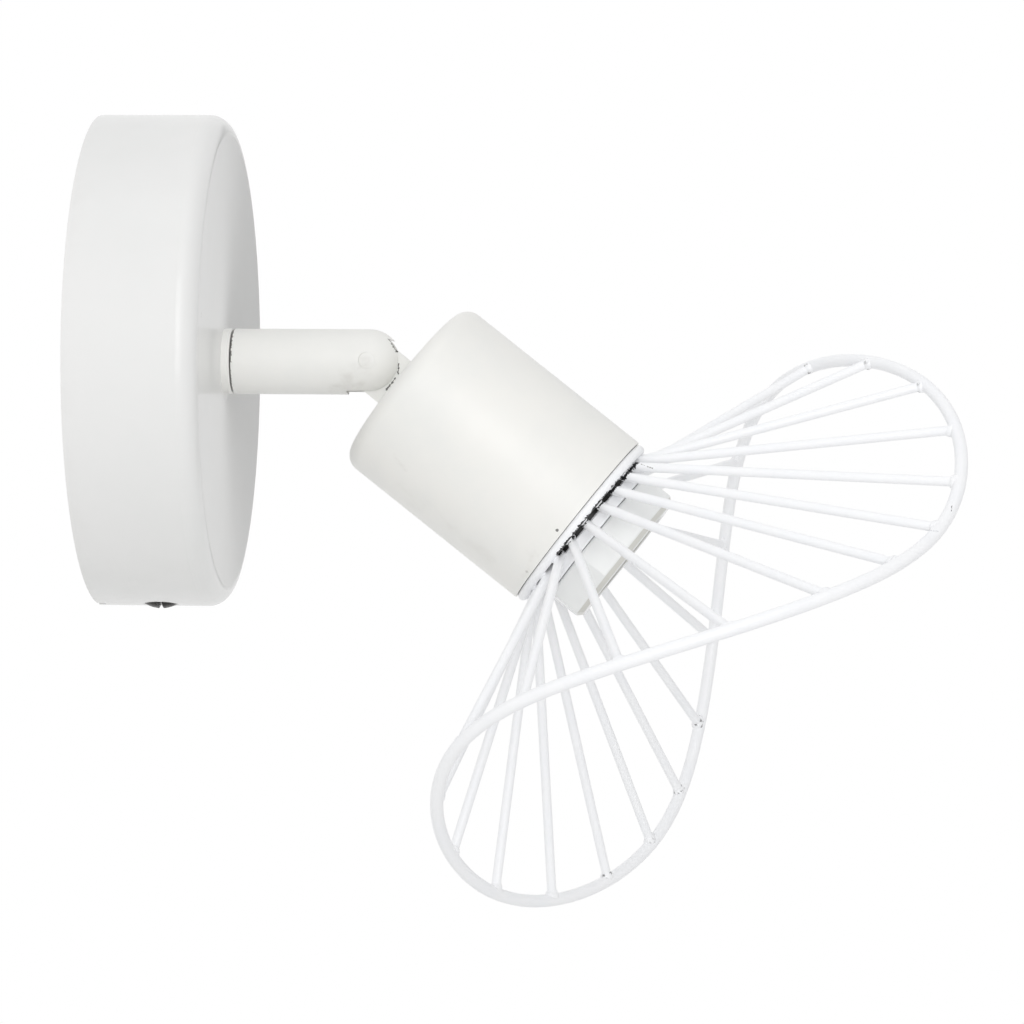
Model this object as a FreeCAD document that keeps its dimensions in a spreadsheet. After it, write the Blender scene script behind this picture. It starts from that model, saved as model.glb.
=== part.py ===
import FreeCAD, Part
import Sketcher
import math
import os
import re

# Wall spotlight: round wall canopy, straight arm with a slotted ball knuckle, cup with an E14
# lampholder, and a saddle-shaped shade of straight wires welded to a bent rim wire.
# World frame: the wall is the plane Y = 0, the lamp stands out towards -Y, and Z is up.
# Pieces on the wall axis are drawn with local Z away from the wall. Pieces of the head are drawn
# with local Z along the head's axis, from the tilt pivot towards the shade.

doc = FreeCAD.newDocument("wall_spotlight")
sheet = doc.addObject("Spreadsheet::Sheet", "sizes")
reader = doc.addObject("Spreadsheet::Sheet", "reader")

# Driving dimensions, in millimetres and degrees
driving_sizes = {
    # Canopy, a pressed cup against the wall
    "canopy_radius": 60.0,
    "canopy_depth": 31.1,
    "canopy_dish": 1.5,
    "canopy_hub_radius": 9.6,
    "canopy_wall": 1.0,
    "canopy_bend": 4.6,
    "canopy_turn": -7.0,
    "side_screw_height": 15.5,
    "countersink_radius": 4.3,
    "dimple_depth": 2.1,
    "notch_width": 3.0,
    "notch_height": 2.0,
    # Wall bracket, a bent strip behind the canopy
    "bracket_width": 18.0,
    "bracket_thickness": 1.5,
    "bracket_bend": 2.5,
    "bracket_tab_height": 21.0,
    "wall_screw_circle_radius": 42.0,
    "wall_screw_hole_radius": 2.25,
    "cable_hole_radius": 5.0,
    "cable_hole_offset": 9.0,
    # Screws of the canopy and the bracket
    "side_screw_radius": 2.0,
    "side_screw_length": 10.0,
    "side_screw_dome": 0.9,
    "earth_screw_offset": 24.0,
    "earth_screw_radius": 2.0,
    "pan_head_radius": 3.6,
    "pan_head_height": 2.4,
    "screw_slot_share": 0.17,
    "tag_radius": 4.2,
    "tag_thickness": 0.8,
    "tag_barrel_length": 6.0,
    # Terminal block
    "block_start": 16.0,
    "block_length": 16.0,
    "block_height": 13.0,
    "block_wall": 1.7,
    "pole_pitch": 8.6,
    "pole_height": 5.6,
    "sleeve_radius": 2.4,
    "sleeve_bore_radius": 1.5,
    "clamp_screw_radius": 1.2,
    "clamp_screw_length": 4.0,
    "clamp_screw_inset": 4.0,
    "block_screw_radius": 1.25,
    "block_screw_head_radius": 1.75,
    "block_screw_head_height": 1.5,
    # Arm and its swivel on the canopy
    "arm_radius": 8.0,
    "arm_length": 33.3,
    "arm_bore_radius": 4.5,
    "collar_thickness": 2.0,
    "collar_edge": 0.4,
    "swivel_dead_angle": 30.0,
    "stop_pin_radius": 0.8,
    "stop_pin_circle_radius": 6.45,
    "stop_pin_reach": 1.2,
    "stop_groove_depth": 1.6,
    "stud_radius": 4.95,
    "stud_bore_radius": 3.9,
    "stud_engagement": 9.0,
    "stud_tail": 1.0,
    "stud_nut_width": 14.0,
    "stud_nut_height": 3.0,
    "stud_washer_radius": 9.0,
    "stud_washer_thickness": 1.0,
    "disc_spring_radius": 8.6,
    "disc_spring_height": 1.3,
    "disc_spring_thickness": 0.5,
    # Knuckle
    "head_tilt": 38.1,
    "highest_tilt": 18.1,
    "lowest_tilt": 78.1,
    "slot_width": 7.0,
    "tongue_thickness": 6.4,
    "tongue_radius": 6.4,
    "tongue_channel_width": 3.8,
    "tongue_channel_depth": 7.2,
    "pin_radius": 2.0,
    "pivot_to_cup": 9.8,
    "axis_above_pivot": 1.5,
    "stub_radius": 3.95,
    "stub_bore_radius": 2.5,
    "stub_length": 18.2,
    # Lamp cup and what clamps it
    "cup_radius": 24.0,
    "cup_length": 54.0,
    "cup_wall": 1.0,
    "cup_bend": 4.0,
    "tooth_washer_radius": 7.0,
    "tooth_washer_thickness": 0.8,
    "tooth_count": 12,
    "tooth_gap_width": 1.4,
    "tooth_gap_depth": 1.6,
    "cup_nut_width": 12.0,
    "cup_nut_height": 3.5,
    # Lampholder
    "holder_radius": 14.0,
    "holder_wall": 1.6,
    "holder_back": 19.0,
    "holder_neck_radius": 7.0,
    "holder_neck_length": 5.0,
    "holder_dome_length": 7.0,
    "holder_split": 44.0,
    "holder_flange_radius": 17.8,
    "holder_flange_thickness": 2.0,
    "holder_mouth_radius": 8.4,
    "holder_recess": 0.6,
    "contact_block_back": 38.0,
    "contact_block_length": 18.5,
    "wire_hole_radius": 1.1,
    "wire_hole_depth": 4.0,
    "wire_hole_spread": 4.2,
    "shell_radius": 7.0,
    "shell_wall": 0.5,
    "shell_length": 17.0,
    "shell_flange_radius": 11.0,
    "contact_width": 4.0,
    "contact_thickness": 0.4,
    "contact_rise": 3.0,
    "contact_reach": 4.0,
    "contact_recess_radius": 5.5,
    "holder_screw_radius": 1.5,
    "holder_screw_length": 5.0,
    "holder_screw_head_radius": 2.6,
    "holder_screw_head_height": 1.4,
    "holder_screw_spread": 8.4,
    # Shade
    "ring_wire_radius": 1.2,
    "ring_radius": 22.6,
    "washer_gap": 0.8,
    "shade_washer_radius": 19.0,
    "shade_washer_thickness": 3.0,
    "shade_washer_edge": 0.5,
    "ring_nut_radius": 19.6,
    "ring_nut_length": 9.3,
    "ring_nut_chamfer": 0.6,
    "ring_nut_front_chamfer": 1.4,
    "ring_nut_turn": 17.7,
    "spoke_count": 24,
    "spoke_radius": 1.15,
    "spoke_turn": 2.9,
    "rim_wire_radius": 1.55,
    "rim_distance": 106.1,
    "rim_radius": 78.4,
    "saddle_height": 25.8,
    "saddle_turn": 47.1,
    "saddle_crest_height": 1.7,
    "saddle_crest_inset": 4.8,
    "saddle_corner_inset": 2.3,
    "rim_skew_height": 2.3,
    "rim_skew_offset": 2.4,
    # Leads
    "lead_radius": 0.9,
    "lead_bend": 5.0,
    # Clearances, and how far a cut runs past what it cuts
    "joint_gap": 0.3,
    "free_clearance": 0.25,
    "seat_clearance": 0.1,
    "running_clearance": 0.08,
    "pin_clearance": 0.06,
    "thread_clearance": 0.05,
    "weld_gap": 0.05,
    "overrun": 2.0,
}

for row, (name, value) in enumerate(driving_sizes.items(), 1):
    sheet.set("A%d" % row, name)
    sheet.set("B%d" % row, str(value))
    sheet.setAlias("B%d" % row, name)
doc.recompute()

# Stations along the wall axis, from the wall
hub_face = "(canopy_depth - canopy_dish)"
inner_face = "(canopy_depth - canopy_dish - canopy_wall)"
collar_front = "(%s + collar_thickness)" % hub_face
arm_base = "(%s + joint_gap)" % collar_front
pivot_reach = "(%s + arm_length)" % arm_base
stud_washer_back = "(%s - seat_clearance - stud_washer_thickness)" % inner_face
disc_spring_back = "(%s - disc_spring_height)" % stud_washer_back
stud_nut_back = "(%s - stud_nut_height)" % disc_spring_back
stud_back = "(%s - stud_tail)" % stud_nut_back
tab_reach = "(canopy_radius - dimple_depth - thread_clearance)"

# Stations along the head's axis, from the pivot
cup_inside = "(pivot_to_cup + cup_wall)"
cup_mouth = "(pivot_to_cup + cup_length)"
cup_nut_back = "(pivot_to_cup + cup_wall + tooth_washer_thickness)"
stub_end = "(pivot_to_cup + stub_length)"
contact_block_front = "(contact_block_back + contact_block_length)"
contact_recess_depth = "(contact_rise + contact_thickness + seat_clearance)"
contact_seat = "(%s - %s)" % (contact_block_front, contact_recess_depth)
shell_flange_front = "(%s + shell_wall)" % contact_block_front
shell_front = "(%s + shell_length)" % contact_block_front
ring_height = "(%s + ring_wire_radius)" % cup_mouth
shade_washer_back = "(%s + 2 * ring_wire_radius + washer_gap)" % cup_mouth
shade_washer_front = "(%s + shade_washer_thickness)" % shade_washer_back
ring_nut_back = "(%s + seat_clearance)" % shade_washer_front
ring_nut_front = "(%s + ring_nut_length)" % ring_nut_back
holder_front = "(%s - holder_recess)" % ring_nut_front

# Heights and places on the terminal block
pole_places = ("-pole_pitch", "0", "pole_pitch")
pole_level = "(bracket_thickness + pole_height)"
block_top = "(bracket_thickness + block_height)"
valley_floor = "(bracket_thickness + pole_height + sleeve_radius)"
block_middle = "(block_start + block_length / 2)"
clamp_places = ("(block_start + clamp_screw_inset)", "(block_start + block_length - clamp_screw_inset)")


def bound(expression):
    """The expression with each size pointed at its cell in the sheet."""
    def point(match):
        word = match.group(0)
        return "sizes." + word if word in driving_sizes else word
    return re.sub(r"[a-z_][a-z_0-9]*", point, expression)


def number(expression):
    """The value that an expression of the named sizes has now."""
    reader.set("A1", "=" + bound(expression))
    reader.recompute()
    return float(reader.get("A1"))


def new_body(label):
    body = doc.addObject("PartDesign::Body", label)
    body.Label = label
    return body


def origin_feature(body, role):
    return [feature for feature in body.Origin.OriginFeatures if feature.Role == role][0]


def sketch_on(body, role, offset="0"):
    """A sketch on one of the body's own origin planes, offset along the plane's normal."""
    sketch = body.newObject("Sketcher::SketchObject", body.Label + "_sketch")
    sketch.AttachmentSupport = (origin_feature(body, role), "")
    sketch.MapMode = "FlatFace"
    if offset != "0":
        sketch.setExpression("AttachmentOffset.Base.z", bound(offset))
    return sketch


def hold(sketch, constraint, expression):
    """Add a constraint whose value follows an expression of the named sizes."""
    index = sketch.addConstraint(constraint)
    sketch.setExpression("Constraints[%d]" % index, bound(expression))


def pin_point(sketch, geometry, end, across, up):
    """Hold a point of the sketch at two expressions of the named sizes."""
    for kind, expression, axis in (("DistanceX", across, -2), ("DistanceY", up, -1)):
        if expression == "0":
            sketch.addConstraint(Sketcher.Constraint("PointOnObject", geometry, end, axis))
        else:
            held = Sketcher.Constraint(kind, -1, 1, geometry, end, number(expression))
            hold(sketch, held, expression)


def arc_between(start, end, radius, side):
    """The short arc between two points, bulging to the left (side 1) or the right (side -1)."""
    chord = end - start
    middle = (start + end) * 0.5
    left = FreeCAD.Vector(-chord.y, chord.x, 0).normalize()
    depth = math.sqrt(max(radius ** 2 - (chord.Length / 2) ** 2, 0))
    crown = middle + left * side * (radius - depth)
    return Part.Arc(start, crown, end)


def draw_outline(sketch, corners):
    """A closed outline. A corner is (across, up), or (across, up, radius, side) when the stretch
    that ends at it is an arc."""
    points = [FreeCAD.Vector(number(corner[0]), number(corner[1]), 0) for corner in corners]
    count = len(corners)
    first = sketch.GeometryCount
    for index in range(count):
        start = points[index]
        end = points[(index + 1) % count]
        ahead = corners[(index + 1) % count]
        stretch = Part.LineSegment(start, end)
        if len(ahead) > 2:
            stretch = arc_between(start, end, number(ahead[2]), ahead[3])
        sketch.addGeometry(stretch, False)
    starts = []
    for index in range(count):
        near = (sketch.getPoint(first + index, 1) - points[index]).Length
        far = (sketch.getPoint(first + index, 2) - points[index]).Length
        starts.append(1 if near < far else 2)
    for index, corner in enumerate(corners):
        after = (index + 1) % count
        sketch.addConstraint(Sketcher.Constraint("Coincident", first + index, 3 - starts[index],
                                                 first + after, starts[after]))
        pin_point(sketch, first + index, starts[index], corner[0], corner[1])
        if len(corner) > 2:
            arc = first + (index - 1) % count
            hold(sketch, Sketcher.Constraint("Radius", arc, number(corner[2])), corner[2])


def draw_circle(sketch, across, up, radius):
    centre = FreeCAD.Vector(number(across), number(up), 0)
    circle = Part.Circle(centre, FreeCAD.Vector(0, 0, 1), number(radius))
    index = sketch.addGeometry(circle, False)
    pin_point(sketch, index, 3, across, up)
    hold(sketch, Sketcher.Constraint("Radius", index, number(radius)), radius)


def draw_polygon(sketch, corner_radius, sides, turn="0"):
    corners = []
    for index in range(sides):
        angle = "(%s + 360 * %d / %d)" % (turn, index, sides)
        corners.append(("%s * cos(%s)" % (corner_radius, angle), "%s * sin(%s)" % (corner_radius, angle)))
    draw_outline(sketch, corners)


def turned(body, corners):
    """Turn an outline of (radius, height) corners about the body's Z axis."""
    sketch = sketch_on(body, "XZ_Plane")
    draw_outline(sketch, corners)
    feature = body.newObject("PartDesign::Revolution", body.Label + "_turned")
    feature.Profile = sketch
    feature.ReferenceAxis = (sketch, ["V_Axis"])
    feature.Angle = 360.0
    doc.recompute()
    return feature


def turned_sideways(body, corners, height, cut=False):
    """Turn an outline about a line parallel to Y at a height. The first and last corner lie on it."""
    sketch = sketch_on(body, "YZ_Plane")
    draw_outline(sketch, corners)
    start = FreeCAD.Vector(number(corners[0][0]), number(height), 0)
    end = FreeCAD.Vector(number(corners[-1][0]), number(height), 0)
    line = sketch.addGeometry(Part.LineSegment(start, end), True)
    pin_point(sketch, line, 1, corners[0][0], height)
    pin_point(sketch, line, 2, corners[-1][0], height)
    kind = "PartDesign::Groove" if cut else "PartDesign::Revolution"
    feature = body.newObject(kind, body.Label + "_sideways")
    feature.Profile = sketch
    feature.ReferenceAxis = (sketch, ["Axis0"])
    feature.Angle = 360.0
    doc.recompute()
    return feature


def raised(body, sketch, length, both_ways=False):
    """Pad a sketch along its normal, or half each way."""
    pad = body.newObject("PartDesign::Pad", body.Label + "_pad")
    pad.Profile = sketch
    pad.SideType = "Symmetric" if both_ways else "One side"
    pad.setExpression("Length", bound(length))
    doc.recompute()
    return pad


def cut_away(body, sketch, length, both_ways=False, along_normal=False):
    """Pocket a sketch, against its normal unless told otherwise, and see that it cut something."""
    before = body.Shape.Volume
    pocket = body.newObject("PartDesign::Pocket", body.Label + "_pocket")
    pocket.Profile = sketch
    pocket.SideType = "Symmetric" if both_ways else "One side"
    pocket.setExpression("Length", bound(length))
    pocket.Reversed = along_normal
    doc.recompute()
    if not body.Shape.Volume < before:
        raise RuntimeError("a pocket of %s cut nothing" % body.Label)
    return pocket


def circle_at(radius, height):
    """A test for full circles about Z of one radius at one height."""
    wanted_radius = number(radius)
    wanted_height = number(height)
    near = number("thread_clearance") / 5

    def test(edge):
        if not isinstance(edge.Curve, Part.Circle):
            return False
        box = edge.BoundBox
        level = abs(box.ZMax - wanted_height) < near and abs(box.ZMin - wanted_height) < near
        return level and abs(edge.Curve.Radius - wanted_radius) < near
    return test


def straight_edge_along_x(across, height):
    """A test for straight edges parallel to X at one distance from the XZ plane and one height."""
    wanted_across = number(across)
    wanted_height = number(height)
    near = number("thread_clearance") / 5

    def test(edge):
        box = edge.BoundBox
        thin = box.YLength < near and box.ZLength < near
        placed = abs(abs(box.Center.y) - wanted_across) < near
        return thin and placed and abs(box.Center.z - wanted_height) < near
    return test


def flat_edge_at(height):
    """A test for straight edges that lie level at one height."""
    wanted = number(height)
    near = number("thread_clearance") / 5

    def test(edge):
        box = edge.BoundBox
        level = box.ZLength < near and abs(box.Center.z - wanted) < near
        return isinstance(edge.Curve, Part.Line) and level
    return test


def dressed(body, kind, test, size, length):
    """Fillet or chamfer the edges of the body's tip that pass a test."""
    base = body.Tip
    edges = enumerate(base.Shape.Edges, 1)
    names = ["Edge%d" % index for index, edge in edges if not edge.Degenerated and test(edge)]
    feature = body.newObject(kind, body.Label + "_edges")
    feature.Base = (base, names)
    feature.setExpression(size, bound(length))
    doc.recompute()
    return feature


def rounded(body, test, radius):
    return dressed(body, "PartDesign::Fillet", test, "Radius", radius)


def bevelled(body, test, width):
    return dressed(body, "PartDesign::Chamfer", test, "Size", width)


def repeated(body, features, count):
    """Repeat features about the body's Z axis."""
    pattern = body.newObject("PartDesign::PolarPattern", body.Label + "_pattern")
    pattern.Originals = features
    pattern.Axis = (origin_feature(body, "Z_Axis"), [""])
    pattern.Angle = 360.0
    pattern.setExpression("Occurrences", bound(count))
    body.Tip = pattern
    doc.recompute()
    return pattern


def on_wall_axis(turn="0"):
    """Local Z away from the wall, local Y up, turned about the wall axis."""
    upright = FreeCAD.Rotation(FreeCAD.Vector(1, 0, 0), 90)
    spin = FreeCAD.Rotation(FreeCAD.Vector(0, 0, 1), number(turn))
    return FreeCAD.Placement(FreeCAD.Vector(0, 0, 0), upright.multiply(spin))


def in_head():
    """Local Z along the head's axis and local Y on its upper side, with the pivot at height zero."""
    rotation = FreeCAD.Rotation(FreeCAD.Vector(1, 0, 0), 90 + number("head_tilt"))
    lift = rotation.multVec(FreeCAD.Vector(0, number("axis_above_pivot"), 0))
    pivot = FreeCAD.Vector(0, -number(pivot_reach), 0)
    return FreeCAD.Placement(pivot + lift, rotation)


def grouped(label, pieces, placement):
    """One sub-part of one or more separate solids."""
    node = doc.addObject("Part::Feature", label)
    node.Label = label
    node.Shape = Part.Compound(pieces) if len(pieces) > 1 else pieces[0]
    node.Placement = placement.multiply(node.Shape.Placement)
    return node


def copy_at(shape, x, y, z, turn_about=None, angle=0.0):
    """A copy of a shape, turned about an axis through the origin and then shifted."""
    copy = shape.copy()
    rotation = FreeCAD.Rotation(turn_about, angle) if turn_about else FreeCAD.Rotation()
    copy.Placement = FreeCAD.Placement(FreeCAD.Vector(x, y, z), rotation).multiply(copy.Placement)
    return copy


def lead(label, places, placement):
    """A round lead along straight runs joined by tangent arcs, as one sub-part."""
    points = [FreeCAD.Vector(*[number(part) for part in place]) for place in places]
    radius = number("lead_radius")
    bend = number("lead_bend")
    edges = []
    start = points[0]
    for before, corner, after in zip(points, points[1:], points[2:]):
        back = (before - corner).normalize()
        ahead = (after - corner).normalize()
        half_turn = (math.pi - back.getAngle(ahead)) / 2
        reach = bend * math.tan(half_turn)
        crown = corner + (back + ahead).normalize() * (bend / math.cos(half_turn) - bend)
        edges.append(Part.LineSegment(start, corner + back * reach).toShape())
        edges.append(Part.Arc(corner + back * reach, crown, corner + ahead * reach).toShape())
        start = corner + ahead * reach
    edges.append(Part.LineSegment(start, points[-1]).toShape())
    path = Part.Wire(edges)
    heading = (points[1] - points[0]).normalize()
    section = Part.Wire([Part.Circle(points[0], heading, radius).toShape()])
    tube = path.makePipeShell([section], True, False)
    share = tube.Volume / (math.pi * radius ** 2 * path.Length)
    print("%s: %.1f long, volume %.4f of section times length" % (label, path.Length, share))
    return grouped(label, [tube], placement)


def make_canopy():
    """Pressed cup with a face drawn in to a flat hub, two dimples for the side screws and a notch."""
    body = new_body("canopy")
    hole = "(stud_radius + free_clearance)"
    skin = "(canopy_radius - canopy_wall)"
    skin_corner = "(canopy_depth - canopy_wall)"
    turned(body, [
        (hole, hub_face),
        ("canopy_hub_radius", hub_face),
        ("canopy_radius", "canopy_depth"),
        ("canopy_radius", "0"),
        (skin, "0"),
        (skin, skin_corner),
        ("canopy_hub_radius", inner_face),
        (hole, inner_face),
    ])
    rounded(body, circle_at("canopy_radius", "canopy_depth"), "canopy_bend")
    rounded(body, circle_at(skin, skin_corner), "canopy_bend - canopy_wall")
    middle = "(canopy_radius - canopy_wall / 2)"
    floor = "(canopy_radius - dimple_depth)"
    throat = "(countersink_radius - dimple_depth)"
    boss = turned_sideways(body, [
        (middle, "side_screw_height"),
        (middle, "side_screw_height + countersink_radius + canopy_wall / 2"),
        (floor, "side_screw_height + %s + canopy_wall * 3 / 2" % throat),
        (floor, "side_screw_height"),
    ], "side_screw_height")
    sink = turned_sideways(body, [
        ("canopy_radius + overrun", "side_screw_height"),
        ("canopy_radius + overrun", "side_screw_height + countersink_radius + overrun"),
        (floor, "side_screw_height + %s" % throat),
        ("%s - overrun" % floor, "side_screw_height + %s" % throat),
        ("%s - overrun" % floor, "side_screw_height"),
    ], "side_screw_height", cut=True)
    repeated(body, [boss, sink], "2")
    notch = sketch_on(body, "XZ_Plane", "canopy_radius - overrun")
    draw_outline(notch, [("-notch_width / 2", "-overrun"), ("notch_width / 2", "-overrun"),
                         ("notch_width / 2", "notch_height"), ("-notch_width / 2", "notch_height")])
    cut_away(body, notch, "2 * overrun", along_normal=True)
    # The stop pin's hole is turned back, so that the pin stands straight below the arm
    pin_hole = sketch_on(body, "XY_Plane", "%s + overrun" % hub_face)
    draw_circle(pin_hole, "-stop_pin_circle_radius * sin(canopy_turn)",
                "-stop_pin_circle_radius * cos(canopy_turn)", "stop_pin_radius + thread_clearance")
    cut_away(body, pin_hole, "canopy_wall + 2 * overrun")
    body.Placement = on_wall_axis("canopy_turn")
    return body


def make_wall_bracket():
    """Strip with two bent tabs whose tapped holes take the side screws."""
    body = new_body("wall_bracket")
    inner = "(%s - bracket_thickness)" % tab_reach
    profile = sketch_on(body, "YZ_Plane")
    draw_outline(profile, [
        ("-%s" % tab_reach, "0"),
        (tab_reach, "0"),
        (tab_reach, "bracket_tab_height"),
        (inner, "bracket_tab_height"),
        (inner, "bracket_thickness"),
        ("-%s" % inner, "bracket_thickness"),
        ("-%s" % inner, "bracket_tab_height"),
        ("-%s" % tab_reach, "bracket_tab_height"),
    ])
    raised(body, profile, "bracket_width", both_ways=True)
    rounded(body, straight_edge_along_x(tab_reach, "0"), "bracket_bend")
    rounded(body, straight_edge_along_x(inner, "bracket_thickness"), "bracket_bend - bracket_thickness")
    holes = sketch_on(body, "XY_Plane", "bracket_thickness")
    draw_circle(holes, "0", "wall_screw_circle_radius", "wall_screw_hole_radius")
    draw_circle(holes, "0", "-wall_screw_circle_radius", "wall_screw_hole_radius")
    draw_circle(holes, "0", "-cable_hole_offset", "cable_hole_radius")
    draw_circle(holes, "0", "-earth_screw_offset", "earth_screw_radius + thread_clearance")
    draw_circle(holes, "pole_pitch / 2", block_middle, "block_screw_radius + thread_clearance")
    cut_away(body, holes, "bracket_thickness + overrun")
    tapped = sketch_on(body, "XZ_Plane")
    draw_circle(tapped, "0", "side_screw_height", "side_screw_radius + thread_clearance")
    cut_away(body, tapped, "2 * canopy_radius", both_ways=True)
    body.Placement = on_wall_axis("canopy_turn")
    return body


def slotted(body, head_radius, top, depth):
    """Cut a screwdriver slot across the top of a screw, as wide as a share of its head."""
    slot = sketch_on(body, "XY_Plane", top)
    half = "(screw_slot_share * %s)" % head_radius
    end = "(%s + overrun)" % head_radius
    draw_outline(slot, [("-%s" % end, "-%s" % half), (end, "-%s" % half), (end, half), ("-%s" % end, half)])
    cut_away(body, slot, depth)


def screw_blank(label, head_radius, head_height, radius, length):
    """A slotted pan-head screw with its shank below zero and its head above."""
    body = new_body(label)
    turned(body, [("0", "-%s" % length), (radius, "-%s" % length), (radius, "0"), (head_radius, "0"),
                  (head_radius, "%s / 2" % head_height), ("%s * 2 / 3" % head_radius, head_height),
                  ("0", head_height)])
    slotted(body, head_radius, head_height, "%s / 2" % head_height)
    return body.Shape


def make_side_screws():
    """Two slotted raised countersunk screws, from the canopy's dimples into the tabs."""
    body = new_body("side_screw_blank")
    head = "(countersink_radius - free_clearance)"
    rise = "(side_screw_dome + free_clearance)"
    turned(body, [
        ("0", "-side_screw_length"),
        ("side_screw_radius", "-side_screw_length"),
        ("side_screw_radius", "side_screw_radius - countersink_radius"),
        (head, "-free_clearance"),
        ("0", "side_screw_dome", "(%s ^ 2 + %s ^ 2) / 2 / %s" % (head, rise, rise), -1),
    ])
    slotted(body, head, "side_screw_dome", "2 * side_screw_dome")
    reach = number("canopy_radius + thread_clearance")
    height = number("side_screw_height")
    across = FreeCAD.Vector(1, 0, 0)
    upper = copy_at(body.Shape, 0, reach, height, across, -90)
    lower = copy_at(body.Shape, 0, -reach, height, across, 90)
    return grouped("canopy_side_screws", [upper, lower], on_wall_axis("canopy_turn"))


def make_earth_screw():
    """Earth screw of the bracket, on top of the ring tag."""
    shank = "(bracket_thickness + tag_thickness)"
    blank = screw_blank("earth_screw_blank", "pan_head_radius", "pan_head_height",
                        "earth_screw_radius", shank)
    screw = copy_at(blank, 0, -number("earth_screw_offset"), number(shank))
    return grouped("bracket_earth_screw", [screw], on_wall_axis("canopy_turn"))


def make_earth_tag():
    """Ring tag: a flat eye with a crimp barrel that takes the earth lead."""
    body = new_body("earth_ring_tag")
    barrel_back = "(tag_radius - tag_thickness / 2)"
    barrel_level = "(bracket_thickness + lead_radius + tag_thickness)"
    eye = sketch_on(body, "XY_Plane", "bracket_thickness")
    draw_circle(eye, "0", "-earth_screw_offset", "tag_radius")
    raised(body, eye, "tag_thickness")
    barrel = sketch_on(body, "YZ_Plane", barrel_back)
    draw_circle(barrel, "-earth_screw_offset", barrel_level, "lead_radius + tag_thickness")
    raised(body, barrel, "tag_barrel_length")
    bore = sketch_on(body, "YZ_Plane", "%s + tag_barrel_length" % barrel_back)
    draw_circle(bore, "-earth_screw_offset", barrel_level, "lead_radius + thread_clearance")
    cut_away(body, bore, "tag_barrel_length - tag_thickness")
    hole = sketch_on(body, "XY_Plane", "bracket_thickness + tag_thickness")
    draw_circle(hole, "0", "-earth_screw_offset", "earth_screw_radius + thread_clearance")
    cut_away(body, hole, "tag_thickness + overrun")
    body.Placement = on_wall_axis("canopy_turn")
    return body


def make_terminal_block():
    """Moulded three-pole block: bores for the sleeves, wells for the clamp screws, valleys between."""
    body = new_body("terminal_block")
    half = "(pole_pitch + sleeve_radius + block_wall)"
    block_end = "(block_start + block_length)"
    base = sketch_on(body, "XY_Plane", "bracket_thickness")
    draw_outline(base, [("-%s" % half, "block_start"), (half, "block_start"), (half, block_end),
                        ("-%s" % half, block_end)])
    raised(body, base, "block_height")
    valleys = sketch_on(body, "XZ_Plane")
    for middle in ("-pole_pitch / 2", "pole_pitch / 2"):
        left = "%s - block_wall / 2" % middle
        right = "%s + block_wall / 2" % middle
        above = "%s + overrun" % block_top
        draw_outline(valleys, [(left, valley_floor), (right, valley_floor), (right, above), (left, above)])
    cut_away(body, valleys, "%s + overrun" % block_end)
    bores = sketch_on(body, "XZ_Plane")
    for place in pole_places:
        draw_circle(bores, place, pole_level, "sleeve_radius + thread_clearance")
    cut_away(body, bores, "%s + overrun" % block_end)
    wells = sketch_on(body, "XY_Plane", block_top)
    for across in pole_places:
        for place in clamp_places:
            draw_circle(wells, across, place, "clamp_screw_radius + free_clearance")
    cut_away(body, wells, "block_height - pole_height")
    head_well = sketch_on(body, "XY_Plane", block_top)
    draw_circle(head_well, "pole_pitch / 2", block_middle, "block_screw_head_radius + thread_clearance")
    cut_away(body, head_well, "%s - %s" % (block_top, valley_floor))
    shank_hole = sketch_on(body, "XY_Plane", valley_floor)
    draw_circle(shank_hole, "pole_pitch / 2", block_middle, "block_screw_radius + thread_clearance")
    cut_away(body, shank_hole, "%s + overrun" % valley_floor)
    body.Placement = on_wall_axis("canopy_turn")
    return body


def make_terminal_sleeves():
    """Three brass sleeves, each with a wire bore and two tapped cross holes."""
    body = new_body("sleeve_blank")
    outline = sketch_on(body, "XZ_Plane")
    draw_circle(outline, "0", "0", "sleeve_radius")
    draw_circle(outline, "0", "0", "sleeve_bore_radius")
    raised(body, outline, "block_length - 2 * seat_clearance")
    cross = sketch_on(body, "XY_Plane", "sleeve_radius")
    for place in ("seat_clearance - clamp_screw_inset", "clamp_screw_inset + seat_clearance - block_length"):
        draw_circle(cross, "0", place, "clamp_screw_radius + thread_clearance")
    cut_away(body, cross, "sleeve_radius")
    far_end = number("block_start + block_length - seat_clearance")
    sleeves = [copy_at(body.Shape, number(place), far_end, number(pole_level)) for place in pole_places]
    return grouped("terminal_sleeves", sleeves, on_wall_axis("canopy_turn"))


def make_clamp_screws():
    """Six clamp screws that stand in the sleeves' cross holes, on the leads."""
    body = new_body("clamp_screw_blank")
    turned(body, [("0", "0"), ("clamp_screw_radius", "0"), ("clamp_screw_radius", "clamp_screw_length"),
                  ("0", "clamp_screw_length")])
    slotted(body, "clamp_screw_radius", "clamp_screw_length", "clamp_screw_radius / 2")
    height = number("%s + lead_radius + seat_clearance" % pole_level)
    screws = []
    for across in pole_places:
        for place in clamp_places:
            screws.append(copy_at(body.Shape, number(across), number(place), height))
    return grouped("terminal_clamp_screws", screws, on_wall_axis("canopy_turn"))


def make_block_screw():
    """Screw between two poles that holds the terminal block on the bracket."""
    blank = screw_blank("block_screw_blank", "block_screw_head_radius", "block_screw_head_height",
                        "block_screw_radius", valley_floor)
    screw = copy_at(blank, number("pole_pitch / 2"), number(block_middle), number(valley_floor))
    return grouped("terminal_block_screw", [screw], on_wall_axis("canopy_turn"))


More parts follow.
